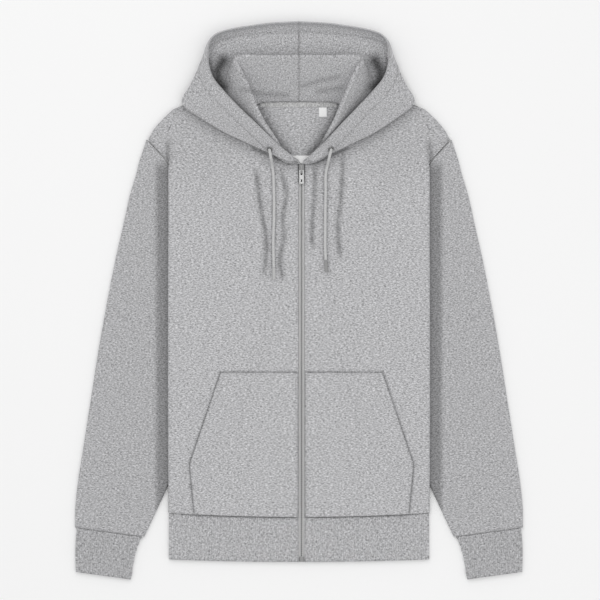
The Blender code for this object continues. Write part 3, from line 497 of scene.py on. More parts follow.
def tube_row(outer: Array, inner: Array, bow: Callable | None, low: float, high: float,
             tops: int, ends: int) -> tuple[Array, Array, Array]:
    """One ring of a flattened tube: flat above and below, with a half circle at each edge.

    Args:
        outer: its outer edge, seen from above.
        inner: its inner edge.
        bow: sideways offset against the share of the width, or None.
        low: level of its lower layer.
        high: level of its upper layer.
        tops: pieces across.
        ends: pieces in a quarter circle.

    Returns:
        The points, which of them lie below, and their shares of the width.
    """
    width = float(np.linalg.norm(inner - outer))
    radius, middle = (high - low) / 2, (high + low) / 2
    a = np.radians(np.linspace(0.0, 90.0, ends + 1))
    flat = np.linspace(radius, width - radius, tops + 1)[1:-1]
    s = np.concatenate([radius * (1 - np.cos(a)), flat, width - radius * (1 - np.cos(a[::-1]))])
    z = np.concatenate([middle + radius * np.sin(a), high + 0 * flat,
                        middle + radius * np.sin(a[::-1])])
    upper = len(s)
    s = np.concatenate([s, s[1:-1][::-1]])
    z = np.concatenate([z, 2 * middle - z[1:-1][::-1]])
    share = s / width
    along = (inner - outer) / width
    point = outer + (inner - outer) * share[:, None]
    if bow is not None:
        point = point + np.outer(bow(share), (-along[1], along[0]))
    return np.column_stack([point, z]), np.arange(len(s)) >= upper, share


def sleeve_grid(rows: int = 130, tops: int = 46, ends: int = 5) -> Array:
    """Middle surface of the right sleeve, a flattened tube from the armhole to the cuff.

    Args:
        rows: rings from the armhole to the cuff.
        tops: pieces across it.
        ends: pieces in a quarter circle at its edges.

    Returns:
        Grid of points (rows, columns, xyz).
    """
    outer, inner = np.array(SLEEVE_OUTER[0]), np.array(SLEEVE_INNER[0])
    along = (inner - outer) / np.linalg.norm(inner - outer)
    normal = np.array([-along[1], along[0]])
    hole = np.array(ARMHOLE) - outer
    shares = hole @ along / np.linalg.norm(inner - outer)
    bows = hole @ normal
    grid = []
    for v in np.concatenate([[0.0, 0.004, 0.012], np.linspace(0.02, 1.0, rows)]):
        o, i = curve(SLEEVE_OUTER, v)[0], curve(SLEEVE_INNER, v)[0]
        fade = max(0.0, 1.0 - v / ARMHOLE_SHARE) ** 2
        row, under, share = tube_row(o, i, lambda s, f=fade: np.interp(s, shares, bows) * f,
                                     FLOOR_LAYER, UPPER_LAYER, tops, ends)
        if v < 0.02:
            inside = smooth((share - 0.30) / 0.15) * smooth((0.97 - share) / 0.05) * under
            row[:, :2] -= np.outer(BACK_TUCK * inside, normal)
        if v == 0.0:
            row[:, 2] += BACK_LIP * under * (smooth((share - 0.42) / 0.16)
                                             * smooth((0.97 - share) / 0.05))
        grid.append(row)
    return np.array(grid)


def cuff_grid(rows: int = 26) -> Array:
    """Inside surface of the right cuff, drawn in from the sleeve by a step that fades down it.

    Args:
        rows: rings from its seam to its end.

    Returns:
        Grid of points (rows, columns, xyz).
    """
    grid = []
    for v in np.linspace(0.0, 1.0, rows):
        o, i = curve(CUFF_OUTER, v)[0], curve(CUFF_INNER, v)[0]
        along = (i - o) / np.linalg.norm(i - o)
        step = along * (CUFF_STEP + CUFF_DRAW * math.exp(-v / CUFF_DRAW_OVER))
        grid.append(tube_row(o + step, i - step, None,
                             RIB_WALL + RIB_RISE, RIB_UPPER, CUFF_PIECES, 4)[0])
    return np.array(grid)


def hem_grid(rows: int = 16, step: float = 0.55) -> Array:
    """Inside surface of the band at the foot, from the zip round the back to the zip again.

    Args:
        rows: rows from its seam to its end.
        step: between two columns in front; they are twice as far apart below.

    Returns:
        Grid of points (rows, columns, xyz).
    """
    outer = HEM_X - RIB_WALL - RIB_RISE
    low, high = RIB_WALL + RIB_RISE, RIB_UPPER
    radius, middle = (high - low) / 2, (high + low) / 2
    turned = np.radians(np.linspace(90.0, 270.0, 9))
    first = np.arange(ZIP_X - ZIP_GAP, -(outer - radius), -step)
    below = np.arange(-(outer - radius) + step, outer - radius, step * 2)
    last = np.arange(outer - radius, ZIP_X + ZIP_GAP, -step)
    x = np.concatenate([first, -(outer - radius) + radius * np.cos(turned), below,
                        outer - radius - radius * np.cos(turned), last[1:], [ZIP_X + ZIP_GAP]])
    z = np.concatenate([high + 0 * first, middle + radius * np.sin(turned), low + 0 * below,
                        middle - radius * np.sin(turned), high + 0 * last])
    bow = 1.0 - np.minimum(abs(x) / FOLD_X, 1.0) ** 2
    return np.array([np.stack([x, (HEM_SEAM_Y - 0.5) * (1 - v) + HEM_END_Y * v
                               - (HEM_SAG * (1 - v) + HEM_END_SAG * v) * bow, z], 1)
                     for v in np.linspace(0.0, 1.0, rows)])


def hood_lines(stations: int) -> Array:
    """The five lines of the hood, smooth through their points.

    Args:
        stations: number of stations from the centre back to the centre front.

    Returns:
        Points (line, station, xyz).
    """
    k = np.linspace(0.0, 1.0, stations) * (len(HOOD_SEAM) - 1)
    lines = []
    for points in (HOOD_SEAM, HOOD_RIDGE, HOOD_VALLEY, HOOD_FOLD, HOOD_BRIM):
        points = np.array(points)
        i = np.clip(k.astype(int), 0, len(points) - 2)
        lines.append(hermite(points, np.gradient(points, axis=0), i, (k - i)[:, None]))
    return np.array(lines)


def rounded(corners: Array, along: Array, flat: int, bend: int) -> Array:
    """A line through the corners, each rounded by a cubic between points on its two sides.

    A sharp fold is opened into a turn wide enough for the wall to go round: the cubic's ends and
    handles are moved apart across the fold.

    Args:
        corners: the corners, first and last included.
        along: direction of the fold at each corner.
        flat: steps on each straight part.
        bend: steps on each rounded corner.

    Returns:
        The line's points.
    """
    parts = [corners[:1]]
    at = corners[0]
    t = np.linspace(0.0, 1.0, bend + 1)[1:, None]
    steps = np.linspace(0.0, 1.0, flat + 1)[1:, None]
    for n in range(1, len(corners) - 1):
        corner = corners[n]
        back, on = corners[n - 1] - corner, corners[n + 1] - corner
        near, far = np.linalg.norm(back), np.linalg.norm(on)
        back, on = back / near, on / far
        back_over, on_over = back - back @ along[n] * along[n], on - on @ along[n] * along[n]
        back_share, on_share = np.linalg.norm(back_over), np.linalg.norm(on_over)
        half = 0.5 * math.acos(np.clip(back_over @ on_over / (back_share * on_share), -1.0, 1.0))
        opened = smooth((math.degrees(half) - SHARP) / (OPEN - SHARP))
        reach = TURN_REACH + (HOOD_CORNER - TURN_REACH) * opened
        near = min(reach / back_share, REACH_SHARE * near)
        far = min(reach / on_share, REACH_SHARE * far)
        side = back_over / back_share - on_over / on_share
        side = side / max(np.linalg.norm(side), 1e-9)
        wide, mean = TURN_RADIUS * math.cos(half), 0.5 * (near * back_share + far * on_share)
        # A cubic passes its corner at 3/4 of its handles' height, so the radius goes by 9/16
        inner = max(math.sqrt(wide * mean / 0.5625) - max(mean * math.sin(half), wide), 0.0)
        near_rise = near * back_share * math.sin(half)
        far_rise = far * on_share * math.sin(half)
        a = corner + back * near + side * max(wide - near_rise, 0.0)
        b = corner + on * far - side * max(wide - far_rise, 0.0)
        one = corner + back * near / 3 + side * max(inner - near_rise / 3, 0.0)
        two = corner + on * far / 3 - side * max(inner - far_rise / 3, 0.0)
        parts += [at + (a - at) * steps, bezier(a, one, two, b, t)]
        at = b
    parts.append(at + (corners[-1] - at) * steps)
    return np.concatenate(parts)


@functools.lru_cache(maxsize=None)
def hood_grid(side: int, stations: int = 170, flat: int = 24, bend: int = 10) -> Array:
    """Middle surface of half of the hood: rows are stations, columns run from seam to brim.

    Args:
        side: -1 on the left of the view, 1 on the right.
        stations: rows from the centre back to the centre front.
        flat: pieces on each straight part.
        bend: pieces on each fold.

    Returns:
        Grid of points (rows, columns, xyz).
    """
    lines = hood_lines(stations)
    along = np.gradient(lines, axis=1)
    along /= np.linalg.norm(along, axis=2)[..., None]
    grid = np.array([rounded(lines[:, n], along[:, n], flat, bend) for n in range(stations)])
    shifted = np.maximum(smooth((abs(grid[..., 0]) - 1.0) / 14.0),
                         smooth((300.0 - grid[..., 1]) / 40.0))
    grid[..., 0] = grid[..., 0] * side + table(HOOD_SHIFT, 1, grid[..., 1]) * shifted
    return grid


def normals_of(grid: Array, closed: bool) -> Array:
    """Unit normals of a grid of points, from the cross product of its two directions.

    Args:
        grid: the points (rows, columns, xyz).
        closed: whether the last column meets the first.

    Returns:
        One normal for each point.
    """
    if closed:
        wide = np.concatenate([grid[:, -1:], grid, grid[:, :1]], 1)
        across = (wide[:, 2:] - wide[:, :-2]) / 2
    else:
        across = np.gradient(grid, axis=1)
    normal = np.cross(across, np.gradient(grid, axis=0))
    return normal / np.maximum(np.linalg.norm(normal, axis=2, keepdims=True), 1e-9)


def lengths_of(grid: Array, axis: int) -> Array:
    """Running length along a grid of points.

    Args:
        grid: the points (rows, columns, xyz).
        axis: 1 to go along each row, 0 to go down each column.

    Returns:
        The length from the edge to each point.
    """
    pad = [(0, 0), (0, 0)]
    pad[axis] = (1, 0)
    return np.pad(np.cumsum(np.linalg.norm(np.diff(grid, axis=axis), axis=2), axis=axis), pad)


def grid_faces(rows: int, columns: int, closed: bool, first: int = 0) -> Array:
    """Quads of a grid, as point numbers.

    Args:
        rows: its rows.
        columns: its columns.
        closed: whether the last column meets the first.
        first: number of its first point.

    Returns:
        Four point numbers for each face.
    """
    i = np.arange(rows - 1)[:, None]
    j = np.arange(columns if closed else columns - 1)[None, :]
    k = (j + 1) % columns
    return first + np.stack(np.broadcast_arrays(i * columns + j, i * columns + k,
                                                (i + 1) * columns + k, (i + 1) * columns + j),
                            -1).reshape(-1, 4)


def make_mesh(name: str, points: Array, faces: Array, uv: Array | None,
              shade: Array | None) -> bpy.types.Object:
    """A smooth mesh object from whole arrays.

    Args:
        name: its name.
        points: its points in mm.
        faces: its faces, three or four point numbers each.
        uv: texture coordinates of each point in mm, or None.
        shade: brightness of each point, with painted shade and light, 1 where plain, or None.

    Returns:
        The object, at the origin.
    """
    mesh = bpy.data.meshes.new(name)
    corners = faces.shape[1]
    mesh.vertices.add(len(points))
    mesh.vertices.foreach_set("co", (np.asarray(points, float) * MM).ravel())
    mesh.loops.add(faces.size)
    mesh.loops.foreach_set("vertex_index", faces.ravel().astype(np.int32))
    mesh.polygons.add(len(faces))
    mesh.polygons.foreach_set("loop_start", np.arange(0, faces.size, corners, dtype=np.int32))
    mesh.polygons.foreach_set("use_smooth", np.ones(len(faces), bool))
    mesh.update(calc_edges=True)
    if uv is not None:
        layer = mesh.uv_layers.new(name="cloth")
        layer.data.foreach_set("uv", uv[faces.ravel()].ravel())
    if shade is not None:
        made = mesh.attributes.new("shade", "FLOAT", "POINT")
        made.data.foreach_set("value", np.asarray(shade, float).ravel())
    mesh.validate()
    obj = bpy.data.objects.new(name, mesh)
    bpy.context.scene.collection.objects.link(obj)
    log.info("%s: %d points, %d faces", name, len(points), len(faces))
    return obj


class Yarn(Enum):
    """The kinds of finish, by the record's material slot."""

    FLEECE = "fleece"
    RIB = "rib"
    TAPE = "tape"
    LABEL = "label"
    CORD = "cord"
    ZIP = "zip"
    METAL = "metal"
    NECK = "neck tape"
    SLIDER = "slider"
    # One cord tip in two greys: painted shade on the right one, painted light on the left one
    TIP = "cord tip"
    LIT_CORD_TIP = "pale cord tip"

    @property
    def slot(self) -> str:
        """Name of its slot in the record.

        Returns:
            The slot's name, which several finishes may share.
        """
        shared = {Yarn.NECK: Yarn.TAPE, Yarn.SLIDER: Yarn.METAL, Yarn.TIP: Yarn.METAL,
                  Yarn.LIT_CORD_TIP: Yarn.METAL}
        return shared.get(self, self).value


# Finishes of the nodes that keep their solids
TRIMS = {"zip_box": Yarn.SLIDER, "zip_slider": Yarn.SLIDER, "pull_tab": Yarn.METAL,
         "eyelet_left": Yarn.SLIDER, "eyelet_right": Yarn.SLIDER,
         # the left tip gets painted light and the right tip painted shade
         "cord_tip_left": Yarn.LIT_CORD_TIP, "cord_tip_right": Yarn.TIP,
         "zip_tape_left": Yarn.TAPE, "zip_tape_right": Yarn.TAPE, "neck_tape": Yarn.NECK,
         "size_label": Yarn.LABEL, "back_label": Yarn.LABEL}


@dataclass(frozen=True)
class Tree:
    """A material's nodes and links, with the steps that its finishes share."""

    nodes: bpy.types.Nodes
    links: bpy.types.NodeLinks

    def maths(self, operation: str, a: bpy.types.NodeSocket,
              b: bpy.types.NodeSocket) -> bpy.types.NodeSocket:
        """Two values through one operation.

        Args:
            operation: Blender's word for it.
            a: first value.
            b: second value.

        Returns:
            The socket that holds the result.
        """
        made = self.nodes.new("ShaderNodeMath")
        made.operation = operation
        self.links.new(a, made.inputs[0])
        self.links.new(b, made.inputs[1])
        return made.outputs["Value"]

    def ramp(self, value: bpy.types.NodeSocket, span: tuple[float, float],
             to: tuple[float, float]) -> bpy.types.NodeSocket:
        """A value moved from one span to another, and kept inside it.

        Args:
            value: the value.
            span: the span that it is read over.
            to: what the span's two ends become.

        Returns:
            The socket that holds the result.
        """
        made = self.nodes.new("ShaderNodeMapRange")
        made.inputs["From Min"].default_value, made.inputs["From Max"].default_value = span
        made.inputs["To Min"].default_value, made.inputs["To Max"].default_value = to
        self.links.new(value, made.inputs["Value"])
        return made.outputs["Result"]

    def shade(self) -> bpy.types.NodeSocket:
        """Painted shade and light of the piece, from its own attribute.

        Returns:
            The socket that holds it.
        """
        made = self.nodes.new("ShaderNodeAttribute")
        made.attribute_name = "shade"
        return made.outputs["Fac"]


def new_material(name: str) -> tuple[bpy.types.Material, Tree, bpy.types.Node]:
    """A new material with its nodes switched on.

    Args:
        name: its name.

    Returns:
        The material, its tree and its shader node.
    """
    made = bpy.data.materials.new(name)
    made.use_nodes = True
    tree = Tree(made.node_tree.nodes, made.node_tree.links)
    return made, tree, tree.nodes["Principled BSDF"]


@dataclass(frozen=True)
class Marl:
    """A melange knit: grey yarn with darker and lighter flecks that run along the rows.

    Attributes:
        name: the material's name.
        grey: reflectance of the plain yarn.
        contrast: how far the flecks go from it.
        fleck: size of a fleck across and along, in mm.
        bump: depth of the knit, in mm.
        sheen: weight of the fuzz.
        layers: scale, lean in radians and detail of each layer of noise; the first two are added
            to make the flecks, and the last is broad.
        tint: share of the grey in red, green and blue.
    """

    name: str
    grey: float
    contrast: float = 0.56
    fleck: tuple[float, float] = (3.1, 1.4)
    bump: float = 0.25
    sheen: float = 0.12
    layers: tuple = ((1.0, 0.16, 2.0), (0.83, -0.10, 2.0), (0.36, 0.0, 1.0))
    tint: tuple[float, float, float] = (0.997, 0.996, 1.018)

    def build(self) -> bpy.types.Material:
        """Noise stretched along the rows, through a ramp to greys, times the piece's painted shade.

        Returns:
            The material.
        """
        made, tree, shader = new_material(self.name)
        where = tree.nodes.new("ShaderNodeTexCoord").outputs["UV"]
        flecks = [self._noise(tree, where, k) for k in range(len(self.layers))]
        fine = tree.ramp(tree.maths("ADD", flecks[0], flecks[1]), (0.65, 1.35),
                         (1.0 - self.contrast, 1.0 + self.contrast))
        broad = tree.ramp(flecks[2], (0.3, 0.7), (0.97, 1.03))
        product = tree.maths("MULTIPLY", tree.maths("MULTIPLY", fine, broad), tree.shade())
        tint = tree.nodes.new("ShaderNodeVectorMath")
        tint.operation = "SCALE"
        tint.inputs[0].default_value = tuple(self.grey * share for share in self.tint)
        tree.links.new(product, tint.inputs["Scale"])
        tree.links.new(tint.outputs["Vector"], shader.inputs["Base Color"])
        bump = tree.nodes.new("ShaderNodeBump")
        bump.inputs["Strength"].default_value = 0.5
        bump.inputs["Distance"].default_value = self.bump * MM
        tree.links.new(flecks[0], bump.inputs["Height"])
        tree.links.new(bump.outputs["Normal"], shader.inputs["Normal"])
        shader.inputs["Roughness"].default_value = 0.95
        shader.inputs["Specular IOR Level"].default_value = 0.15
        shader.inputs["Sheen Weight"].default_value = self.sheen
        shader.inputs["Sheen Roughness"].default_value = 0.6
        return made

    def _noise(self, tree: Tree, where: bpy.types.NodeSocket, k: int) -> bpy.types.NodeSocket:
        """One layer of noise, turned first and then stretched.

        Args:
            tree: the material's tree.
            where: the coordinates that it reads.
            k: which of the layers.

        Returns:
            The socket that holds the noise.
        """
        scale, lean, detail = self.layers[k]
        turned = tree.nodes.new("ShaderNodeMapping")
        turned.inputs["Rotation"].default_value = (0.0, 0.0, lean)
        place = tree.nodes.new("ShaderNodeMapping")
        place.inputs["Scale"].default_value = (scale / self.fleck[0], scale / self.fleck[1], 1.0)
        place.inputs["Location"].default_value = (17.3 * k, 5.1 * k, 0.0)
        noise = tree.nodes.new("ShaderNodeTexNoise")
        noise.noise_dimensions = "2D"
        noise.inputs["Scale"].default_value = 1.0
        noise.inputs["Detail"].default_value = detail
        noise.inputs["Roughness"].default_value = 0.6
        noise.inputs["Distortion"].default_value = 0.5
        tree.links.new(where, turned.inputs["Vector"])
        tree.links.new(turned.outputs["Vector"], place.inputs["Vector"])
        tree.links.new(place.outputs["Vector"], noise.inputs["Vector"])
        return noise.outputs["Fac"]


@dataclass(frozen=True)
class Plain:
    """A plain finish with a slight unevenness of its brightness.

    Attributes:
        name: the material's name.
        grey: its reflectance, or colour of the metal.
        roughness: of its surface.
        metallic: 1 for metal.
        grain: size of the unevenness, in mm.
        depth: how far the brightness goes each way.
        shaded: it is multiplied by the piece's painted shade.
    """

    name: str
    grey: float
    roughness: float
    metallic: float = 0.0
    grain: float = 1.2
    depth: float = 0.08
    shaded: bool = False

    def build(self) -> bpy.types.Material:
        """Noise in object coordinates, through a ramp to greys.

        Returns:
            The material.
        """
        made, tree, shader = new_material(self.name)
        where = tree.nodes.new("ShaderNodeTexCoord")
        noise = tree.nodes.new("ShaderNodeTexNoise")
        noise.inputs["Scale"].default_value = 1.0 / (self.grain * MM)
        noise.inputs["Detail"].default_value = 2.0
        tree.links.new(where.outputs["Object"], noise.inputs["Vector"])
        grey = tree.ramp(noise.outputs["Fac"], (0.3, 0.7),
                         (self.grey * (1.0 - self.depth), self.grey * (1.0 + self.depth)))
        if self.shaded:
            grey = tree.maths("MULTIPLY", grey, tree.shade())
        tree.links.new(grey, shader.inputs["Base Color"])
        shader.inputs["Roughness"].default_value = self.roughness
        shader.inputs["Metallic"].default_value = self.metallic
        return made


@dataclass
class Finishes:
    """Every material of the object, made once and given out by slot."""

    looks: dict[Yarn, Marl | Plain] = field(default_factory=lambda: {
        Yarn.FLEECE: Marl("marl_fleece", 0.495),
        Yarn.RIB: Marl("marl_rib", 0.470, contrast=0.50, fleck=(2.6, 2.4), bump=0.15),
        Yarn.TAPE: Plain("woven_tape", 0.80, 0.9, grain=0.9),
        Yarn.NECK: Plain("neck_tape_knit", 0.50, 0.95, grain=2.0, depth=0.35),
        Yarn.LABEL: Plain("white_label", 0.97, 0.7, depth=0.03),
        Yarn.CORD: Plain("braided_cord", 0.56, 0.9, grain=1.4, depth=0.16),
        Yarn.ZIP: Plain("zip_teeth", 0.72, 0.5, grain=2.0, shaded=True),
        Yarn.METAL: Plain("satin_metal", 0.62, 0.35, metallic=1.0, depth=0.04),
        Yarn.SLIDER: Plain("dark_metal", 0.30, 0.38, metallic=1.0, depth=0.06),
        # the two tips' greys are one tip with painted shade and with painted light
        Yarn.TIP: Plain("cord_tip", 0.30, 0.5, depth=0.06),
        Yarn.LIT_CORD_TIP: Plain("pale_cord_tip", 0.50, 0.5, depth=0.06),
    })
    made: dict[Yarn, bpy.types.Material] = field(default_factory=dict)

    def give(self, obj: bpy.types.Object, yarn: Yarn) -> None:
        """Puts a finish on an object.

        Args:
            obj: the object.
            yarn: its finish, which is made at its first use.
        """
        if yarn not in self.made:
            self.made[yarn] = self.looks[yarn].build()
        obj.data.materials.clear()
        obj.data.materials.append(self.made[yarn])


class Groove(Enum):
    """How each kind of line shows on the cloth, as (depth, width, darkness, fading).

    Depth, width and the length of the fading are in mm, and darkness is a share of the brightness,
    painted as the shade in a groove or beside a line. A depth of 0 is painted shade alone.
    """

    ZIP_STITCHES = (0.45, 0.9, 0.12, 0.0)
    ZIP_EDGE = (0.4, 0.9, 0.45, 0.0)
    BESIDE_SLIDER = (0.0, 1.4, 0.45, 0.0)
    VALLEY = (0.9, 4.3, 0.52, 26.0)
    UNDER_HOOD = (0.0, 11.0, 0.24, 0.0)
    AT_HOOD = (0.0, 2.6, 0.45, 0.0)
    ARMPIT = (0.0, 5.5, 0.36, 16.0)
    BESIDE_ARMHOLE = (0.2, 1.1, 0.14, 0.0)
    UNDER_OPENING = (0.0, 1.7, 0.38, 0.0)
    OVER_POCKET = (0.0, 1.4, 0.20, 0.0)
    UNDER_CORD = (0.0, 3.1, 0.36, 0.0)
    INSIDE_NECK = (0.0, 8.0, 0.42, 0.0)
    NECK_EDGE = (0.0, 3.2, 0.35, 0.0)
    POCKET_ZIP_STITCHES = (0.55, 1.0, 0.16, 0.0)
    OPENING_STITCHES = (0.35, 1.0, 0.06, 0.0)
    POCKET_EDGE = (0.5, 1.3, 0.3, 0.0)
    POCKET_TOP_STITCHES = (0.3, 0.8, 0.08, 0.0)
    ARMHOLE = (0.4, 1.2, 0.12, 0.0)
    HOLLOW_SHADE = (0.0, 9.5, 0.80, 0.0)
    UNDER_BRIM = (0.0, 2.6, 0.48, 0.0)
    WRINKLE_SHADE = (0.0, 4.2, 0.26, 0.0)


@dataclass
class Line:
    """A seam, stitch line, crease or painted shade on a piece, as a path seen from above.

    Attributes:
        path: points (x, y) in mm.
        groove: how it shows.
    """

    path: Array | list[tuple[float, float]]
    groove: Groove

    def distance(self, x: Array, y: Array) -> Array:
        """Least distance from each point to the path's segments, within three widths.

        Args:
            x: across, in mm.
            y: along, in mm.

        Returns:
            Distances in mm, and a very large one where the path is further away.
        """
        least = np.full(x.shape, FAR_AWAY)
        path = np.asarray(self.path, float)
        reach = 3.0 * self.groove.value[1]
        for (ax, ay), (bx, by) in zip(path, path[1:]):
            near = ((x > min(ax, bx) - reach) & (x < max(ax, bx) + reach)
                    & (y > min(ay, by) - reach) & (y < max(ay, by) + reach))
            if not near.any():
                continue
            px, py = x[near] - ax, y[near] - ay
            dx, dy = bx - ax, by - ay
            t = np.clip((px * dx + py * dy) / max(dx * dx + dy * dy, 1e-9), 0.0, 1.0)
            least[near] = np.minimum(least[near], np.hypot(px - t * dx, py - t * dy))
        return least

    def strength(self, x: Array, y: Array) -> Array:
        """1 all along, or a share that fades at the ends and varies between them.

        Args:
            x: across, in mm.
            y: along, in mm.

        Returns:
            A share from 0 to 1 for each point.
        """
        fade = self.groove.value[3]
        if not fade:
            return np.ones(x.shape)
        heights = np.asarray(self.path, float)[:, 1]
        ends = (smooth((y - heights.min() + fade / 2) / fade)
                * smooth((heights.max() + fade / 2 - y) / fade))
        return ends * (0.80 + 0.20 * np.sin(y / 7.0 + x / 3.0) * np.sin(y / 11.0))


def relief_of(lines: list[Line], x: Array, y: Array) -> tuple[Array, Array]:
    """Sum of the lines' round grooves, and the product of their painted shades.

    Args:
        lines: the lines.
        x: across, in mm.
        y: along, in mm.

    Returns:
        The rise, which is negative in a groove, and the brightness.
    """
    rise, shade = np.zeros(x.shape), np.ones(x.shape)
    for line in lines:
        depth, width, dark, _ = line.groove.value
        near = bell(line.distance(x, y), width) * line.strength(x, y)
        rise -= depth * near
        shade *= 1.0 - dark * near
    return rise, shade


@dataclass
class Cloth:
    """One cloth piece: a closed shell about a grid of points.

    Attributes:
        name: the object's name.
        nodes: the CAD nodes that it stands for.
        grid: middle of the cloth, (rows, columns, xyz) in mm.
        wall: its thickness in mm.
        yarn: its finish.
        closed: whether the last column meets the first.
        rise: relief of its outer face in mm, by point.
        shade: brightness by point, with painted shade and light.
        flip: its outer face is on the other side.
        offset: 0 where the grid is the middle, 1 where it is the inside.
        anchor: the column from which the grain is measured across.
        turned: the grain follows the view from above, as on the hood.
        rests_on: what it lies on; not used.
    """

    name: str
    nodes: tuple[str, ...]
    grid: Array
    wall: float
    yarn: Yarn
    closed: bool = False
    rise: Array | float = 0.0
    shade: Array | float = 1.0
    flip: bool = False
    offset: float = 0.0
    anchor: int = 0
    turned: bool = False
    rests_on: tuple[str, ...] = ("table",)
    lining_at: ClassVar[tuple[float, float]] = (311.0, 97.0)  # shifts the knit on its other face

    def build(self, finishes: Finishes) -> None:
        """Makes the shell: both faces and a rim along each open edge.

        Args:
            finishes: the object's finishes.
        """
        rows, columns = self.grid.shape[:2]
        count = rows * columns
        normal = normals_of(self.grid, self.closed) * (-1.0 if self.flip else 1.0)
        rise = np.broadcast_to(self.rise, (rows, columns))
        outer = self.grid + normal * (self.wall * (1 + self.offset) / 2 + rise)[..., None]
        inner = self.grid - normal * self.wall * (1 - self.offset) / 2
        faces = np.concatenate([grid_faces(rows, columns, self.closed),
                                grid_faces(rows, columns, self.closed, count)[:, ::-1],
                                *self._rims(rows, columns)])
        uv = self._grain().reshape(-1, 2)
        shade = np.broadcast_to(self.shade, (rows, columns)).ravel()
        obj = make_mesh(self.name, np.concatenate([outer.reshape(-1, 3), inner.reshape(-1, 3)]),
                        faces[:, ::-1] if self.flip else faces,
                        np.concatenate([uv, uv + self.lining_at]),
                        np.concatenate([shade, shade]))
        finishes.give(obj, self.yarn)
        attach(obj, "hoodie")
        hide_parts(*self.nodes)

    def _grain(self) -> Array:
        """Texture coordinates with the knit's rows level.

        Returns:
            Lengths in mm across from the anchor and down from the top, or the view from above
            where the grain is turned.
        """
        grid, k = self.grid, self.anchor
        if self.turned:
            return np.stack([grid[..., 0] * 1.6, (grid[..., 1] + grid[..., 2]) * 0.8], -1)
        across = lengths_of(grid, 1)
        down = lengths_of(grid * (0.0, 1.0, 1.0), 0)
        step = grid[:, k + 1, 0] - grid[:, k, 0] if k >= 0 else grid[:, k, 0] - grid[:, k - 1, 0]
        sign = np.sign(np.median(step))
        u = across - across[:, k, None] + sign * grid[:, k, 0, None]
        return np.stack([u, down - grid[:1, :, 1]], -1)

    def _rims(self, rows: int, columns: int) -> list[Array]:
        """Faces that close the shell along its open edges.

        Args:
            rows: rows of the grid.
            columns: its columns.

        Returns:
            Quads for each edge, between the outer points and the inner ones.
        """
        count = rows * columns
        number = np.arange(count).reshape(rows, columns)
        edges = [(number[0], True), (number[-1], False)]
        if self.closed:
            edges = [(np.append(edge, edge[0]), forward) for edge, forward in edges]
        else:
            edges += [(number[:, 0], False), (number[:, -1], True)]
        rims = []
        for edge, forward in edges:
            quad = np.stack([edge[:-1], edge[:-1] + count, edge[1:] + count, edge[1:]], 1)
            rims.append(quad if forward else quad[:, ::-1])
        return rims


def front_height(x: Array | float, y: Array | float) -> Array:
    """Upper face of a front at points seen from above."""
    return level(np.asarray(x, float), np.asarray(y, float), True) + FLEECE / 2


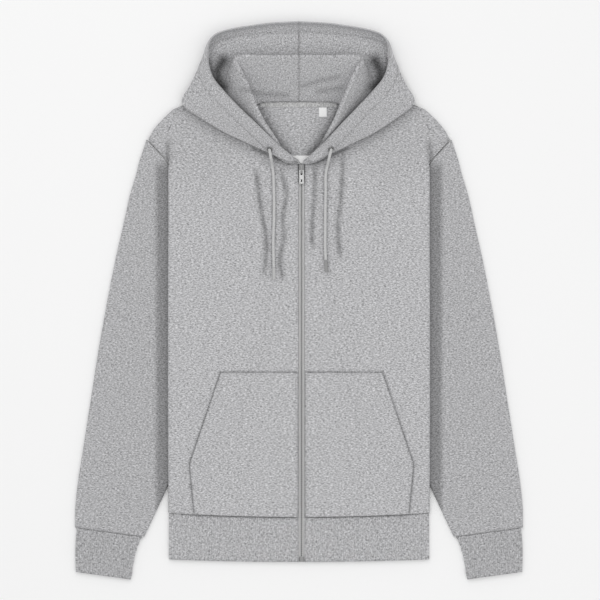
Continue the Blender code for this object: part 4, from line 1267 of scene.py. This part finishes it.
@dataclass
class Body:
    """Fronts and back, with the pockets on the fronts.

    Attributes:
        finishes: the object's finishes.
        uneven: how far the fronts swell by hand, in mm.
        pocket_uneven: the same for the pockets.
        pocket_lift: the pockets lie this far off the fronts, past a seam's gap.
        side_shade: painted shade at the fronts' folds: how much darker, over this width.
        chest_shade: painted shade beside the hood, growing towards the shoulders: how much darker.
    """

    finishes: Finishes
    uneven: float = 0.22
    pocket_uneven: float = 0.15
    pocket_lift: float = 0.55
    side_shade: tuple[float, float] = (0.10, 2.6)
    chest_shade: float = 0.07

    def build(self) -> None:
        """Makes the body's cloth."""
        for side, name in SIDES:
            self._front(side, name)
            self._pocket(side, name)
        grid = back_grid()
        # painted shade on the inside of the back, beside the hood's flaps
        flaps = [[(side * a, b) for a, b, _ in HOOD_RIDGE[4:12]] for side, _ in SIDES]
        lines = [Line(flap, groove) for flap in flaps
                 for groove in (Groove.INSIDE_NECK, Groove.NECK_EDGE)]
        shade = relief_of(lines, grid[..., 0], grid[..., 1])[1]
        Cloth("back_panel_cloth", ("back_panel",), grid, FLEECE, Yarn.FLEECE, shade=shade,
              flip=True, anchor=grid.shape[1] // 2).build(self.finishes)

    def _front(self, side: int, name: str) -> None:
        """A front: topstitched beside the zip, sunk at its seams, gently uneven, with painted
        shade.

        Args:
            side: -1 on the left of the view, 1 on the right.
            name: the side's name.
        """
        grid = front_grid(side)
        x, y = grid[..., 0], grid[..., 1]
        rise, shade = relief_of(self._front_lines(side), x, y)
        from_fold = FOLD_X + 1.0 - abs(x)
        inside = smooth(from_fold / 30.0) * smooth((abs(x - ZIP_X) - 4.0) / 30.0)
        near_neck = smooth((y - 40.0) / 120.0)
        rise += self.uneven * swell(x, y, side) * inside * (0.6 + 0.8 * near_neck)
        # painted shade along the folds, and towards the shoulders beside the hood
        shade *= 1.0 - self.side_shade[0] * bell(from_fold, self.side_shade[1]) * (y < 225.0)
        shade *= 1.0 - self.chest_shade * smooth((y - 150.0) / 90.0) * smooth(
            (abs(x) - 60.0) / 80.0)
        Cloth(f"front_{name}_cloth", (f"front_{name}",), grid, FLEECE, Yarn.FLEECE,
              rise=rise, shade=shade, flip=side > 0,
              anchor=0 if side > 0 else -1).build(self.finishes)

    @staticmethod
    def _front_lines(side: int) -> list[Line]:
        """Stitches and edge beside the zip, creases, and painted shade under hood, cord and pocket
        edge.

        Args:
            side: -1 on the left of the view, 1 on the right.

        Returns:
            The lines of that front.
        """
        edge, stitched = ZIP_X + side * ZIP_GAP, ZIP_X + side * ZIP_ROW
        fold = [(side * a + float(table(HOOD_SHIFT, 1, b)), b - 2.0) for a, b, _ in HOOD_FOLD[5:]]
        armpit = [(side * 208.0, 205.0), (side * 205.5, 235.0), (side * 203.0, 250.0)]
        armhole = [(side * (a - 4.5), b + 2.5) for a, b in ARMHOLE[:3]]
        opening = [(ZIP_X + side * (a + 0.8), b) for a, b in POCKET_EDGE]
        over_pocket = [(ZIP_X, -112.0), (ZIP_X + side * 127.0, -112.0)]
        cord = cord_lines()["left" if side < 0 else "right"][12:, :2]
        valleys = [Line(curve(path, np.linspace(0.0, 1.0, 30)), Groove.VALLEY)
                   for path in VALLEYS[side]]
        return [Line([(stitched, 213.0), (stitched, SEAM_FOOT_Y)], Groove.ZIP_STITCHES),
                Line([(edge, ZIP_TOP_Y), (edge, SEAM_FOOT_Y)], Groove.ZIP_EDGE),
                Line([(edge, ZIP_TOP_Y), (edge, 184.0)], Groove.BESIDE_SLIDER),
                *valleys, Line(fold, Groove.UNDER_HOOD), Line(fold[3:], Groove.AT_HOOD),
                Line(armpit, Groove.ARMPIT), Line(armhole, Groove.BESIDE_ARMHOLE),
                Line(opening, Groove.UNDER_OPENING), Line(over_pocket, Groove.OVER_POCKET),
                Line(cord, Groove.UNDER_CORD)]

    def _pocket(self, side: int, name: str) -> None:
        """A pocket: a second layer on the front, topstitched along its edges, with painted shade
        there.

        Args:
            side: -1 on the left of the view, 1 on the right.
            name: the side's name.
        """
        ys = np.concatenate([np.linspace(POCKET_TOP_Y, POCKET_CORNER_Y, 70),
                             np.linspace(POCKET_CORNER_Y - 2.0, POCKET_BASE_Y, 34)])
        far = table([(b, a) for a, b in POCKET_EDGE], 1, ys)
        share = np.linspace(0.0, 1.0, 90)
        x = (POCKET_INNER + (far[:, None] - POCKET_INNER) * share) * side + ZIP_X
        y = hem_line(x, ys[:, None] + 0 * x)
        z = front_height(x, y) + SEAM_GAP + FLEECE / 2 + self.pocket_lift
        inner, outer = ZIP_X + side * ZIP_ROW, [(ZIP_X + side * a, b) for a, b in POCKET_EDGE]
        inset = [(px - side * POCKET_ROW, py) for px, py in outer[:4]]
        top = [(ZIP_X, POCKET_ROW_Y), (outer[0][0], POCKET_ROW_Y)]
        lines = [Line([(inner, POCKET_TOP_Y), (inner, SEAM_FOOT_Y)], Groove.POCKET_ZIP_STITCHES),
                 Line(inset, Groove.OPENING_STITCHES), Line(outer, Groove.POCKET_EDGE),
                 Line([(ZIP_X, POCKET_TOP_Y), outer[0]], Groove.POCKET_EDGE),
                 Line(top, Groove.POCKET_TOP_STITCHES)]
        rise, shade = relief_of(lines, x, y)
        rise += self.pocket_uneven * swell(x, y, side + 4.0) * smooth((y + 330.0) / 40.0)
        Cloth(f"pocket_{name}_cloth", (f"pocket_{name}",), np.stack([x, y, z], -1), FLEECE,
              Yarn.FLEECE, rise=rise, shade=shade, flip=side > 0,
              rests_on=(f"front_{name}_cloth",)).build(self.finishes)


@dataclass
class Sleeves:
    """Both sleeves with their ribbed cuffs.

    Attributes:
        finishes: the object's finishes.
        uneven: how far the sleeves swell by hand, in mm.
        light: brightness of their top.
        body_shadow: painted shadow that the body's edge casts on them, as a share of their
            brightness.
        cuff_light: brightness of the cuffs between ribs, and how much brighter a rib's top is, as
            painted light.
    """

    finishes: Finishes
    uneven: float = 0.35
    light: float = 0.905
    body_shadow: float = 0.38
    cuff_light: tuple[float, float] = (0.88, 0.08)

    def build(self) -> None:
        """Makes the sleeves and cuffs."""
        for side, name in SIDES:
            grid = sleeve_grid() * (side, 1.0, 1.0)
            x, y = grid[..., 0], grid[..., 1]
            top = grid[..., 2] > BETWEEN_LAYERS
            # painted shadow that the body's edge casts on the sleeve's top, in a band beside the
            # body
            shadow_band = smooth((229.0 - abs(x)) / 10.0) * smooth((226.0 - y) / 24.0)
            lines = [Line([(side * a, b) for a, b in ARMHOLE[:4]], Groove.ARMHOLE)]
            sunk, dark = relief_of(lines, x, y)
            rise = self.uneven * swell(x, y, side + 9.0) * smooth((abs(x) - 215.0) / 40.0) + sunk
            shade = (self.light - self.body_shadow * shadow_band * top) * np.where(top, dark, 1.0)
            Cloth(f"sleeve_{name}_cloth", (f"sleeve_{name}",), grid, FLEECE, Yarn.FLEECE, True,
                  rise=rise * top, shade=shade, flip=side < 0).build(self.finishes)
            self._cuff(side, name)

    def _cuff(self, side: int, name: str) -> None:
        """A cuff: ribs raised on its outside, in a round wave about the tube.

        Args:
            side: -1 on the left of the view, 1 on the right.
            name: the side's name.
        """
        grid = cuff_grid() * (side, 1.0, 1.0)
        wave = rib_wave(grid)
        # rib tops painted lighter than the hollows between them
        Cloth(f"cuff_{name}_cloth", (f"cuff_{name}",), grid, RIB_WALL, Yarn.RIB, True,
              RIB_RISE * wave, self.cuff_light[0] + self.cuff_light[1] * wave, side < 0,
              1.0).build(self.finishes)


def rib_wave(grid: Array) -> Array:
    """Ribs along the rows of a grid: 1 on top of each rib and 0 between two."""
    return 0.5 + 0.5 * np.cos(lengths_of(grid, 1) / RIB_PITCH * 2 * math.pi)


@dataclass
class HemBand:
    """The ribbed band at the foot of the body.

    Attributes:
        finishes: the object's finishes.
        light: brightness between ribs, and how much brighter a rib's top is, as painted light.
        end_shade: painted shade at its two ends beside the zip: how much darker, over this width.
    """

    finishes: Finishes
    light: tuple[float, float] = (0.97, 0.07)
    end_shade: tuple[float, float] = (0.18, 2.2)

    def build(self) -> None:
        """Makes the band: ribs in a round wave along it, with painted light and painted shade."""
        grid = hem_grid()
        wave = rib_wave(grid)
        # painted shade at both ends beside the zip, and rib tops painted lighter
        ends = (bell(abs(grid[..., 0] - ZIP_X) - ZIP_GAP, self.end_shade[1])
                * (grid[..., 2] > BETWEEN_LAYERS))
        shade = (self.light[0] + self.light[1] * wave) * (1.0 - self.end_shade[0] * ends)
        Cloth("hem_rib_cloth", ("hem_rib",), grid, RIB_WALL, Yarn.RIB, False, RIB_RISE * wave,
              shade, False, 1.0).build(self.finishes)


@dataclass
class Hood:
    """Both halves of the hood, with the drawcord's tunnel along the brim.

    Attributes:
        finishes: the object's finishes.
        before_fold: columns on the hood's inside, before its outer fold.
        sink: how far it is drawn down where it is sewn to the neck, over this width.
        stitch: depth, width and painted shade of the tunnel's stitches.
        brim: depth, width and painted shade of the brim's edge.
        centre: the same of the centre seam.
        foot: depth and width of the neck's edge.
        pipe: height and width of the cord inside its tunnel.
        uneven: how far it swells by hand, in mm.
        light: brightness of its inside and of its outside.
        back_light: painted light: how much lighter its back is, on the inside and along the brim.
        eyelet_shadow: painted shade about an eyelet: how much darker, and its width.
    """

    finishes: Finishes
    before_fold: int = 92
    sink: tuple[float, float] = (0.8, 5.0)
    stitch: tuple[float, float, float] = (0.5, 1.1, 0.26)
    brim: tuple[float, float, float] = (0.4, 2.5, 0.12)
    centre: tuple[float, float, float] = (0.3, 1.0, 0.14)
    foot: tuple[float, float] = (1.0, 2.4)
    pipe: tuple[float, float] = (0.35, 6.0)
    uneven: float = 0.5
    light: tuple[float, float] = (0.90, 0.92)
    back_light: tuple[float, float] = (0.12, 0.14)
    eyelet_shadow: tuple[float, float] = (0.5, 3.8)

    def build(self) -> None:
        """Makes both halves."""
        for side, name in SIDES:
            grid = hood_grid(side).copy()
            grid[0, :, 0] = 0.04 * side  # the halves don't quite touch at the centre seam
            sewn = bell(lengths_of(grid, 1), self.sink[1])
            grid[..., 2] -= self.sink[0] * sewn * smooth((grid[..., 1] - 296.0) / 10.0)
            inside = np.arange(grid.shape[1]) < self.before_fold
            rise, shade = self._seams(side, grid, inside)
            # painted shade in the hollows, under the brim's edge, along wrinkles and about the
            # eyelets
            Cloth(f"hood_{name}_cloth", (f"hood_{name}",), grid, HOOD_WALL, Yarn.FLEECE,
                  rise=rise, shade=shade * self._hollow(side, grid, inside)
                  * self._shade_about_eyelet(side, grid, inside), flip=side < 0, turned=True,
                  rests_on=("table", f"front_{name}_cloth")).build(self.finishes)

    def _seams(self, side: int, grid: Array, inside: Array) -> tuple[Array, Array]:
        """Relief of the tunnel, the brim, the centre seam and the neck's edge, with painted shade
        and light.

        Args:
            side: -1 on the left of the view, 1 on the right.
            grid: middle of the half.
            inside: which columns lie before the outer fold.

        Returns:
            The rise of the outer face and the brightness.
        """
        across, along = lengths_of(grid, 1), lengths_of(grid, 0)
        left = across[:, -1:] - across
        stitch = bell(left - TUNNEL, self.stitch[1])
        brim, centre = bell(left, self.brim[1]), bell(along, self.centre[1])
        foot = bell(across, self.foot[1])
        pipe = bell(left - TUNNEL / 2, self.pipe[1])
        back = smooth((300.0 - along) / 200.0) * (grid[..., 1] > 300.0)
        rise = (self.pipe[0] * pipe - self.stitch[0] * stitch - self.brim[0] * brim
                - self.centre[0] * centre - self.foot[0] * foot * back)
        rise = rise + self.uneven * swell(grid[..., 0], grid[..., 1] * 1.5, side + 2.0) * smooth(
            left / 40.0) * smooth(across / 20.0)
        # painted shade in the grooves; painted light on the steep top along the brim and inside at
        # the back
        high = smooth((grid[..., 1] - 395.0) / 20.0)
        shade = (1 - self.stitch[2] * stitch) * (1 - self.centre[2] * centre * inside)
        shade = shade * (1 - self.brim[2] * brim * (1 - high))
        shade = shade * (1 + self.back_light[1] * high * bell(left, 14.0))
        shade = shade * np.where(inside, *self.light)
        over_back = smooth((abs(grid[..., 1]) - 384.0) / 6.0) * inside
        return rise, shade * (1.0 + self.back_light[0] * over_back)

    @staticmethod
    def _hollow(side: int, grid: Array, inside: Array) -> Array:
        """Painted shade of the lower layers: deep in the side hollows, soft under the brim's edge,
        along wrinkles.

        Args:
            side: -1 on the left of the view, 1 on the right.
            grid: middle of the half.
            inside: which columns lie before the outer fold.

        Returns:
            The brightness.
        """
        lines = [Line([(side * a, b) for a, b in HOLLOW_SHADE], Groove.HOLLOW_SHADE),
                 Line([(side * a - 1.0, b) for a, b, _ in HOOD_BRIM[2:]], Groove.UNDER_BRIM)]
        lines += [Line(path, Groove.WRINKLE_SHADE) for path in WRINKLES[side]]
        return np.where(inside, relief_of(lines, grid[..., 0], grid[..., 1])[1], 1.0)

    def _shade_about_eyelet(self, side: int, grid: Array, inside: Array) -> Array:
        """Painted shade of the cloth about an eyelet.

        Args:
            side: -1 on the left of the view, 1 on the right.
            grid: middle of the half.
            inside: which columns lie before the outer fold.

        Returns:
            The brightness.
        """
        centre = eyelet_place(side)[0]
        away = np.hypot(grid[..., 0] - centre[0], grid[..., 1] - centre[1])
        return np.where(inside, 1.0, 1.0 - self.eyelet_shadow[0] * bell(away, self.eyelet_shadow[1]))


@dataclass
class Zip:
    """Teeth of the zip, and finishes of the trims that show their solids.

    Attributes:
        finishes: the object's finishes.
        top: upper end of the chain.
        foot: its lower end.
        pitch: from one tooth to the next.
        rail: half sides of a tooth beside the middle.
        head: half sides of the locked heads over it.
        strip: half width and half height of the strip between the teeth, painted dark as their
            shadow.
        off: how far the teeth stand from the middle.
        levels: middle of the teeth, the heads and the strip.
        taper: width of a tooth at its top, as a share of that at its foot.
        strip_shade: brightness of the strip, a painted shadow.
    """

    finishes: Finishes
    top: float = 198.0
    foot: float = -401.6
    pitch: float = 1.57
    rail: tuple[float, float, float] = (0.92, 0.62, 0.85)
    head: tuple[float, float, float] = (0.95, 0.66, 0.70)
    strip: tuple[float, float] = (1.15, 0.3)
    off: float = 1.78
    levels: tuple[float, float, float] = (4.75, 4.7, 4.2)
    taper: float = 0.78
    strip_shade: float = 0.05

    def build(self) -> None:
        """Makes the teeth in place of the chain's bar and dresses the rest.

        Two rows of teeth stand on a strip painted dark as the shadow between them, and a pair of
        locked heads bridges the strip at every second tooth.
        """
        at = np.arange(self.foot, self.top, self.pitch)
        long = (self.top - self.foot) / 2
        parts = [self._blocks(ZIP_X + side * self.off, at, self.levels[0], self.rail)
                 for side, _ in SIDES]
        parts.append(self._blocks(ZIP_X, at[::2], self.levels[1], self.head))
        parts.append(self._blocks(ZIP_X, np.array([self.foot + long]), self.levels[2],
                                  (self.strip[0], long, self.strip[1])))
        points = np.concatenate(parts)
        shade = np.ones(len(points))
        # the strip is painted near black, as the shadow between the teeth
        shade[-8:] = self.strip_shade
        faces = (np.array(CUBE)[None] + 8 * np.arange(len(points) // 8)[:, None, None])
        teeth = make_mesh("zip_teeth", points, faces.reshape(-1, 4), None, shade)
        self.finishes.give(teeth, Yarn.ZIP)
        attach(teeth, "hoodie")
        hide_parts("zip_chain")
        for node, yarn in TRIMS.items():
            self.finishes.give(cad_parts[node], yarn)

    def _blocks(self, x: float, at: Array, z: float, half: tuple[float, float, float]) -> Array:
        """Corners of one small block at each height, narrower at its top.

        Args:
            x: middle of the blocks.
            at: height of each.
            z: level of their middle.
            half: half of their three sides.

        Returns:
            Eight points for each block.
        """
        corner = np.array([(a, b, c) for c in (-1, 1) for b in (-1, 1) for a in (-1, 1)], float)
        corner[4:, :2] *= self.taper
        centre = np.stack([x + 0 * at, at, z + 0 * at], 1)
        return (centre[:, None] + corner[None] * np.array(half)).reshape(-1, 3)


@dataclass
class Cords:
    """The two free ends of the drawcord.

    Attributes:
        finishes: the object's finishes.
        step: between two rings of a cord, in mm.
        around: points of a ring.
        strands: bumps of a spiral round the cord.
        lay: turn of the spirals, in radians for each mm.
        swelling: height of the bumps, as a share of the radius.
    """

    finishes: Finishes
    step: float = 0.6
    around: int = 24
    strands: int = 4
    lay: float = 1.6
    swelling: float = 0.05

    def build(self) -> None:
        """Makes each cord as a braided tube along its solid's own line."""
        for _, name in SIDES:
            line = cord_lines()[name]
            obj = self._tube(f"drawcord_{name}_braid", line)
            self.finishes.give(obj, Yarn.CORD)
            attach(obj, "hoodie")
            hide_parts(f"drawcord_{name}")

    def _tube(self, name: str, line: Array) -> bpy.types.Object:
        """A tube whose radius swells in two crossed spirals, as braided yarn does.

        The swelling is the product of two sines of the angle about the line, one turned forwards
        and the other backwards by the length along it.

        Args:
            name: the object's name.
            line: points of its centre line, in mm.

        Returns:
            The closed tube.
        """
        length = np.concatenate([[0.0], np.cumsum(np.linalg.norm(np.diff(line, axis=0), axis=1))])
        at = np.arange(0.0, length[-1] + self.step / 2, self.step)
        centre = curve(line, np.clip(at / length[-1], 0.0, 1.0))
        ahead = np.gradient(centre, axis=0)
        ahead /= np.linalg.norm(ahead, axis=1, keepdims=True)
        aside = np.cross(ahead, (0.0, 0.0, 1.0))
        thin = np.linalg.norm(aside, axis=1, keepdims=True)
        aside = np.where(thin > 0.05, aside / np.maximum(thin, 1e-9), (1.0, 0.0, 0.0))
        up = np.cross(aside, ahead)
        a = np.linspace(0.0, 2 * math.pi, self.around + 1)[:-1]
        forth, turned = a[None] * self.strands, at[:, None] * self.lay
        spiral = np.sin(forth + turned) * np.sin(forth - turned)
        radius = (CORD_RADIUS * (1.0 + self.swelling * spiral))[..., None]
        ring = (centre[:, None] + aside[:, None] * np.cos(a)[None, :, None] * radius
                + up[:, None] * np.sin(a)[None, :, None] * radius)
        rows, columns = ring.shape[:2]
        points = np.concatenate([ring.reshape(-1, 3), centre[:1], centre[-1:]])
        faces = grid_faces(rows, columns, True)
        faces = np.concatenate([faces[:, [0, 1, 2]], faces[:, [0, 2, 3]]])
        k, count = np.arange(columns), rows * columns
        first, last = k, count - columns + k
        caps = np.concatenate([np.stack([np.roll(first, -1), first, 0 * k + count], 1),
                               np.stack([last, np.roll(last, -1), 0 * k + count + 1], 1)])
        return make_mesh(name, points, np.concatenate([faces, caps])[:, ::-1], None, None)


@functools.lru_cache(maxsize=None)
def eyelet_place(side: int) -> tuple[Array, Array]:
    """Centre and outward direction of an eyelet, on the outside of the hood.

    Args:
        side: -1 on the left of the view, 1 on the right.

    Returns:
        The middle of the cloth there, in mm, and its unit normal.
    """
    grid = hood_grid(side, *EYELET_GRID)
    row, column = EYELET_AT[0] * (grid.shape[0] - 1), EYELET_AT[1] / 4 * (grid.shape[1] - 1)
    i, j = int(row), int(column)
    point = grid[i, j] + (grid[i, j + 1] - grid[i, j]) * (column - j)
    normal = np.cross(grid[i, j + 1] - grid[i, j - 1], grid[i + 1, j] - grid[i - 1, j])
    normal /= np.linalg.norm(normal)
    return point, normal if normal[2] > 0 else -normal


def cord_drop(start: Array, aim: Array) -> Array:
    """The part of a cord that rises from its eyelet, turns over and comes down to its level.

    Two arcs of one radius with a straight stretch between them, in an upright plane.

    Args:
        start: where it leaves the eyelet.
        aim: a point further on, at the level where it lies.

    Returns:
        Points of its centre line.
    """
    rise, fall = math.radians(CORD_RISE), math.radians(CORD_FALL)
    over, up = np.linspace(rise, -fall, 9), np.linspace(-fall, 0.0, 6)
    s = CORD_BEND * (math.sin(rise) - np.sin(over))
    z = CORD_BEND * (np.cos(over) - math.cos(rise))
    straight = (start[2] - aim[2] + z[-1] + CORD_BEND * (math.cos(fall) - 1.0)) / math.sin(fall)
    foot = s[-1] + straight * math.cos(fall), z[-1] - straight * math.sin(fall)
    s = np.append(s, foot[0] + CORD_BEND * (np.sin(up) + math.sin(fall)))
    z = np.append(z, foot[1] + CORD_BEND * (math.cos(fall) - np.cos(up)))
    ahead = (aim - start)[:2] / np.linalg.norm((aim - start)[:2])
    return np.column_stack([start[:2] + np.outer(s, ahead), start[2] + z])


@functools.lru_cache(maxsize=None)
def cord_lines() -> dict[str, Array]:
    """Centre line of each free cord, from its eyelet down the front to its tip.

    Returns:
        Sixty points in mm for each side's name.
    """
    lines = {}
    for (side, name), path in zip(SIDES, (CORD_LEFT, CORD_RIGHT)):
        centre, normal = eyelet_place(side)
        start = centre + normal * (HOOD_WALL / 2 + SEAM_GAP + CORD_OUT)
        lie = [(x, y, float(front_height(x, y)) + SEAM_GAP + CORD_RADIUS + CORD_CLEAR)
               for x, y in path]
        points = curve([*cord_drop(start, np.array(lie[1])), *lie[2:]],
                       np.linspace(0.0, 1.0, 60))
        low = front_height(points[:, 0], points[:, 1]) + 3 * SEAM_GAP + CORD_RADIUS
        points[:, 2] = np.maximum(points[:, 2], low)
        lines[name] = points
    return lines


@dataclass
class Sewing:
    """Raised stitches in the rows that show.

    Attributes:
        finishes: the object's finishes.
        wide: width of a stitch.
        long: its length.
        pitch: from one stitch to the next.
        sunk: depth of the lowest ring of a stitch in the cloth, of its top over that, and of its
            foot.
        corners: points of its ring.
    """

    finishes: Finishes
    wide: float = 0.55
    long: float = 2.5
    pitch: float = 3.2
    sunk: tuple[float, float, float] = (0.1, 0.32, 0.3)
    corners: int = 8

    def build(self) -> None:
        """Makes one object of all the stitches on each side."""
        for side, name in SIDES:
            rows = [self._stitches(path) for path in (*self._front_rows(side),
                                                      self._tunnel_row(side))]
            points = np.concatenate(rows)
            obj = make_mesh(f"stitches_{name}", points.reshape(-1, 3), self._faces(len(points)),
                            None, None)
            self.finishes.give(obj, Yarn.CORD)
            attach(obj, "hoodie")

    def _stitches(self, path: Array) -> Array:
        """A row of small raised stitches along a path.

        Each stitch is a flattened bead: a ring of points about its middle, drawn out along the
        path, with one point on top and one in the cloth.

        Args:
            path: points (x, y, z) of the row, on the cloth.

        Returns:
            Points of each stitch: (stitch, point, xyz).
        """
        length = np.concatenate([[0.0], np.cumsum(np.linalg.norm(np.diff(path, axis=0), axis=1))])
        at = np.arange(self.pitch / 2, length[-1], self.pitch)
        centre, before, after = (np.stack([np.interp(at + d, length, path[:, k])
                                           for k in range(3)], 1) for d in (0.0, -0.5, 0.5))
        ahead = after - before
        ahead[:, 2] *= 0.5
        ahead /= np.maximum(np.linalg.norm(ahead, axis=1, keepdims=True), 1e-9)
        aside = np.stack([-ahead[:, 1], ahead[:, 0], 0 * at], 1)
        a = np.radians(np.arange(self.corners) * 360.0 / self.corners)
        ring = (centre[:, None] + ahead[:, None] * (np.cos(a) * self.long / 2)[None, :, None]
                + aside[:, None] * (np.sin(a) * self.wide / 2)[None, :, None])
        ring[..., 2] -= self.sunk[0]
        top, foot = centre + (0.0, 0.0, self.sunk[1]), centre - (0.0, 0.0, self.sunk[2])
        return np.concatenate([ring, top[:, None], foot[:, None]], 1)

    def _faces(self, count: int) -> Array:
        """Triangles of a row of stitches, from each ring to its top and to its foot.

        Args:
            count: number of stitches.

        Returns:
            Three point numbers for each face.
        """
        k = np.arange(self.corners)
        on = np.roll(k, -1)
        one = np.concatenate([np.stack([k, on, 0 * k + self.corners], 1),
                              np.stack([on, k, 0 * k + self.corners + 1], 1)])
        return (one[None] + (self.corners + 2) * np.arange(count)[:, None, None]).reshape(-1, 3)

    @staticmethod
    def _front_rows(side: int) -> list[Array]:
        """Rows beside the zip and along a pocket's edges.

        Args:
            side: -1 on the left of the view, 1 on the right.

        Returns:
            Points (x, y, z) of each row, smooth through a few points seen from above.
        """
        zip_row = ZIP_X + side * ZIP_ROW
        pocket = SEAM_GAP + FLEECE + 0.15
        base = float(hem_line(np.array(60.0), HEM_SEAM_Y)) + 1.5
        rows = (([(zip_row, 211.0), (zip_row, 50.0), (zip_row, -112.0)], -0.35),
                ([(zip_row, -114.0), (zip_row, -230.0), (zip_row, base)], pocket),
                ([(ZIP_X + side * (a - POCKET_ROW), b) for a, b in POCKET_EDGE[:4]],
                 pocket + 0.1),
                ([(ZIP_X + side * off, POCKET_ROW_Y) for off in (9.0, 70.0, 118.0)],
                 pocket + 0.1))
        laid = []
        for path, lift in rows:
            path = curve(path, np.linspace(0.0, 1.0, 220))
            laid.append(np.column_stack([path, front_height(path[:, 0], path[:, 1]) + lift]))
        return laid

    @staticmethod
    def _tunnel_row(side: int) -> Array:
        """Row along the tunnel on the hood's outside.

        Args:
            side: -1 on the left of the view, 1 on the right.

        Returns:
            Points (x, y, z) on the cloth's face, one for each row of the hood's grid.
        """
        grid = hood_grid(side)
        across = lengths_of(grid, 1)
        n = np.arange(4, grid.shape[0] - 3)
        j = abs(across[n, -1:] - across[n] - TUNNEL).argmin(1)
        normal = normals_of(grid, False)[n, j]
        return grid[n, j] + normal * np.where(normal[:, 2:] > 0, 1.0, -1.0) * (HOOD_WALL / 2 - 0.2)


@dataclass
class Studio:
    """Pale floor, soft light and the camera straight above.

    Attributes:
        scale: mm in one pixel of a picture.
        picture: width of a picture in pixels.
        distance: height of the camera in m.
        aim: place of the camera over the garment, in pixels.
        sensor: width of its sensor in mm.
        floor: reflectance of the floor.
        floor_half: half width of the floor in mm, and its level.
        sky: strength of the even light from all round.
        lamps: place, size and power of each lamp.
    """

    scale: float = 1.57
    picture: int = 600
    distance: float = 6.0
    aim: tuple[float, float] = (1.0, 0.3)
    sensor: float = 36.0
    floor: float = 0.97
    floor_half: tuple[float, float] = (4000.0, -0.6)
    sky: float = 0.74
    lamps: tuple = (("key", (-0.7, 1.3, 2.5), 2.2, 15.0), ("fill", (1.1, -1.0, 2.6), 2.4, 10.0))

    def build(self) -> None:
        """Makes the set."""
        half, z = self.floor_half
        floor = make_mesh("studio_floor", half * np.array([(-1, -1, 0), (1, -1, 0), (1, 1, 0),
                                                           (-1, 1, 0)]) + (0.0, 0.0, z),
                          np.array([[0, 1, 2, 3]]), None, None)
        floor.data.materials.append(Plain("studio_white", self.floor, 0.9, depth=0.0).build())
        scene = bpy.context.scene
        world = bpy.data.worlds.new("studio")
        scene.world = world
        world.use_nodes = True
        back = world.node_tree.nodes["Background"]
        back.inputs["Color"].default_value = (1.0, 1.0, 1.0, 1.0)
        back.inputs["Strength"].default_value = self.sky
        for lamp in self.lamps:
            self._lamp(*lamp)
        data = bpy.data.cameras.new("camera")
        data.sensor_width = self.sensor
        data.lens = self.sensor * self.distance / (self.picture * self.scale * MM)
        data.clip_end = 50.0
        camera = bpy.data.objects.new("camera", data)
        camera.location = (self.aim[0] * self.scale * MM, self.aim[1] * self.scale * MM,
                           self.distance)
        scene.collection.objects.link(camera)
        scene.camera = camera
        scene.view_settings.view_transform = "Standard"

    @staticmethod
    def _lamp(name: str, at: tuple[float, float, float], size: float, power: float) -> None:
        """A square area light that faces the middle of the garment.

        Args:
            name: its name.
            at: its place in m.
            size: its side in m.
            power: its power in watts.
        """
        data = bpy.data.lights.new(name, "AREA")
        data.size = size
        data.energy = power
        lamp = bpy.data.objects.new(name, data)
        lamp.location = at
        lamp.rotation_euler = (-Vector(at)).to_track_quat("-Z", "Y").to_euler()
        bpy.context.scene.collection.objects.link(lamp)


def main() -> None:
    """Builds the garment's parts in order, then the set."""
    logging.basicConfig(level=logging.INFO, format="%(name)s: %(message)s")
    finishes = Finishes()
    for part in (Body(finishes), Sleeves(finishes), HemBand(finishes), Hood(finishes),
                 Zip(finishes), Cords(finishes), Sewing(finishes)):
        part.build()
    Studio().build()


if __name__ == "__main__":
    main()
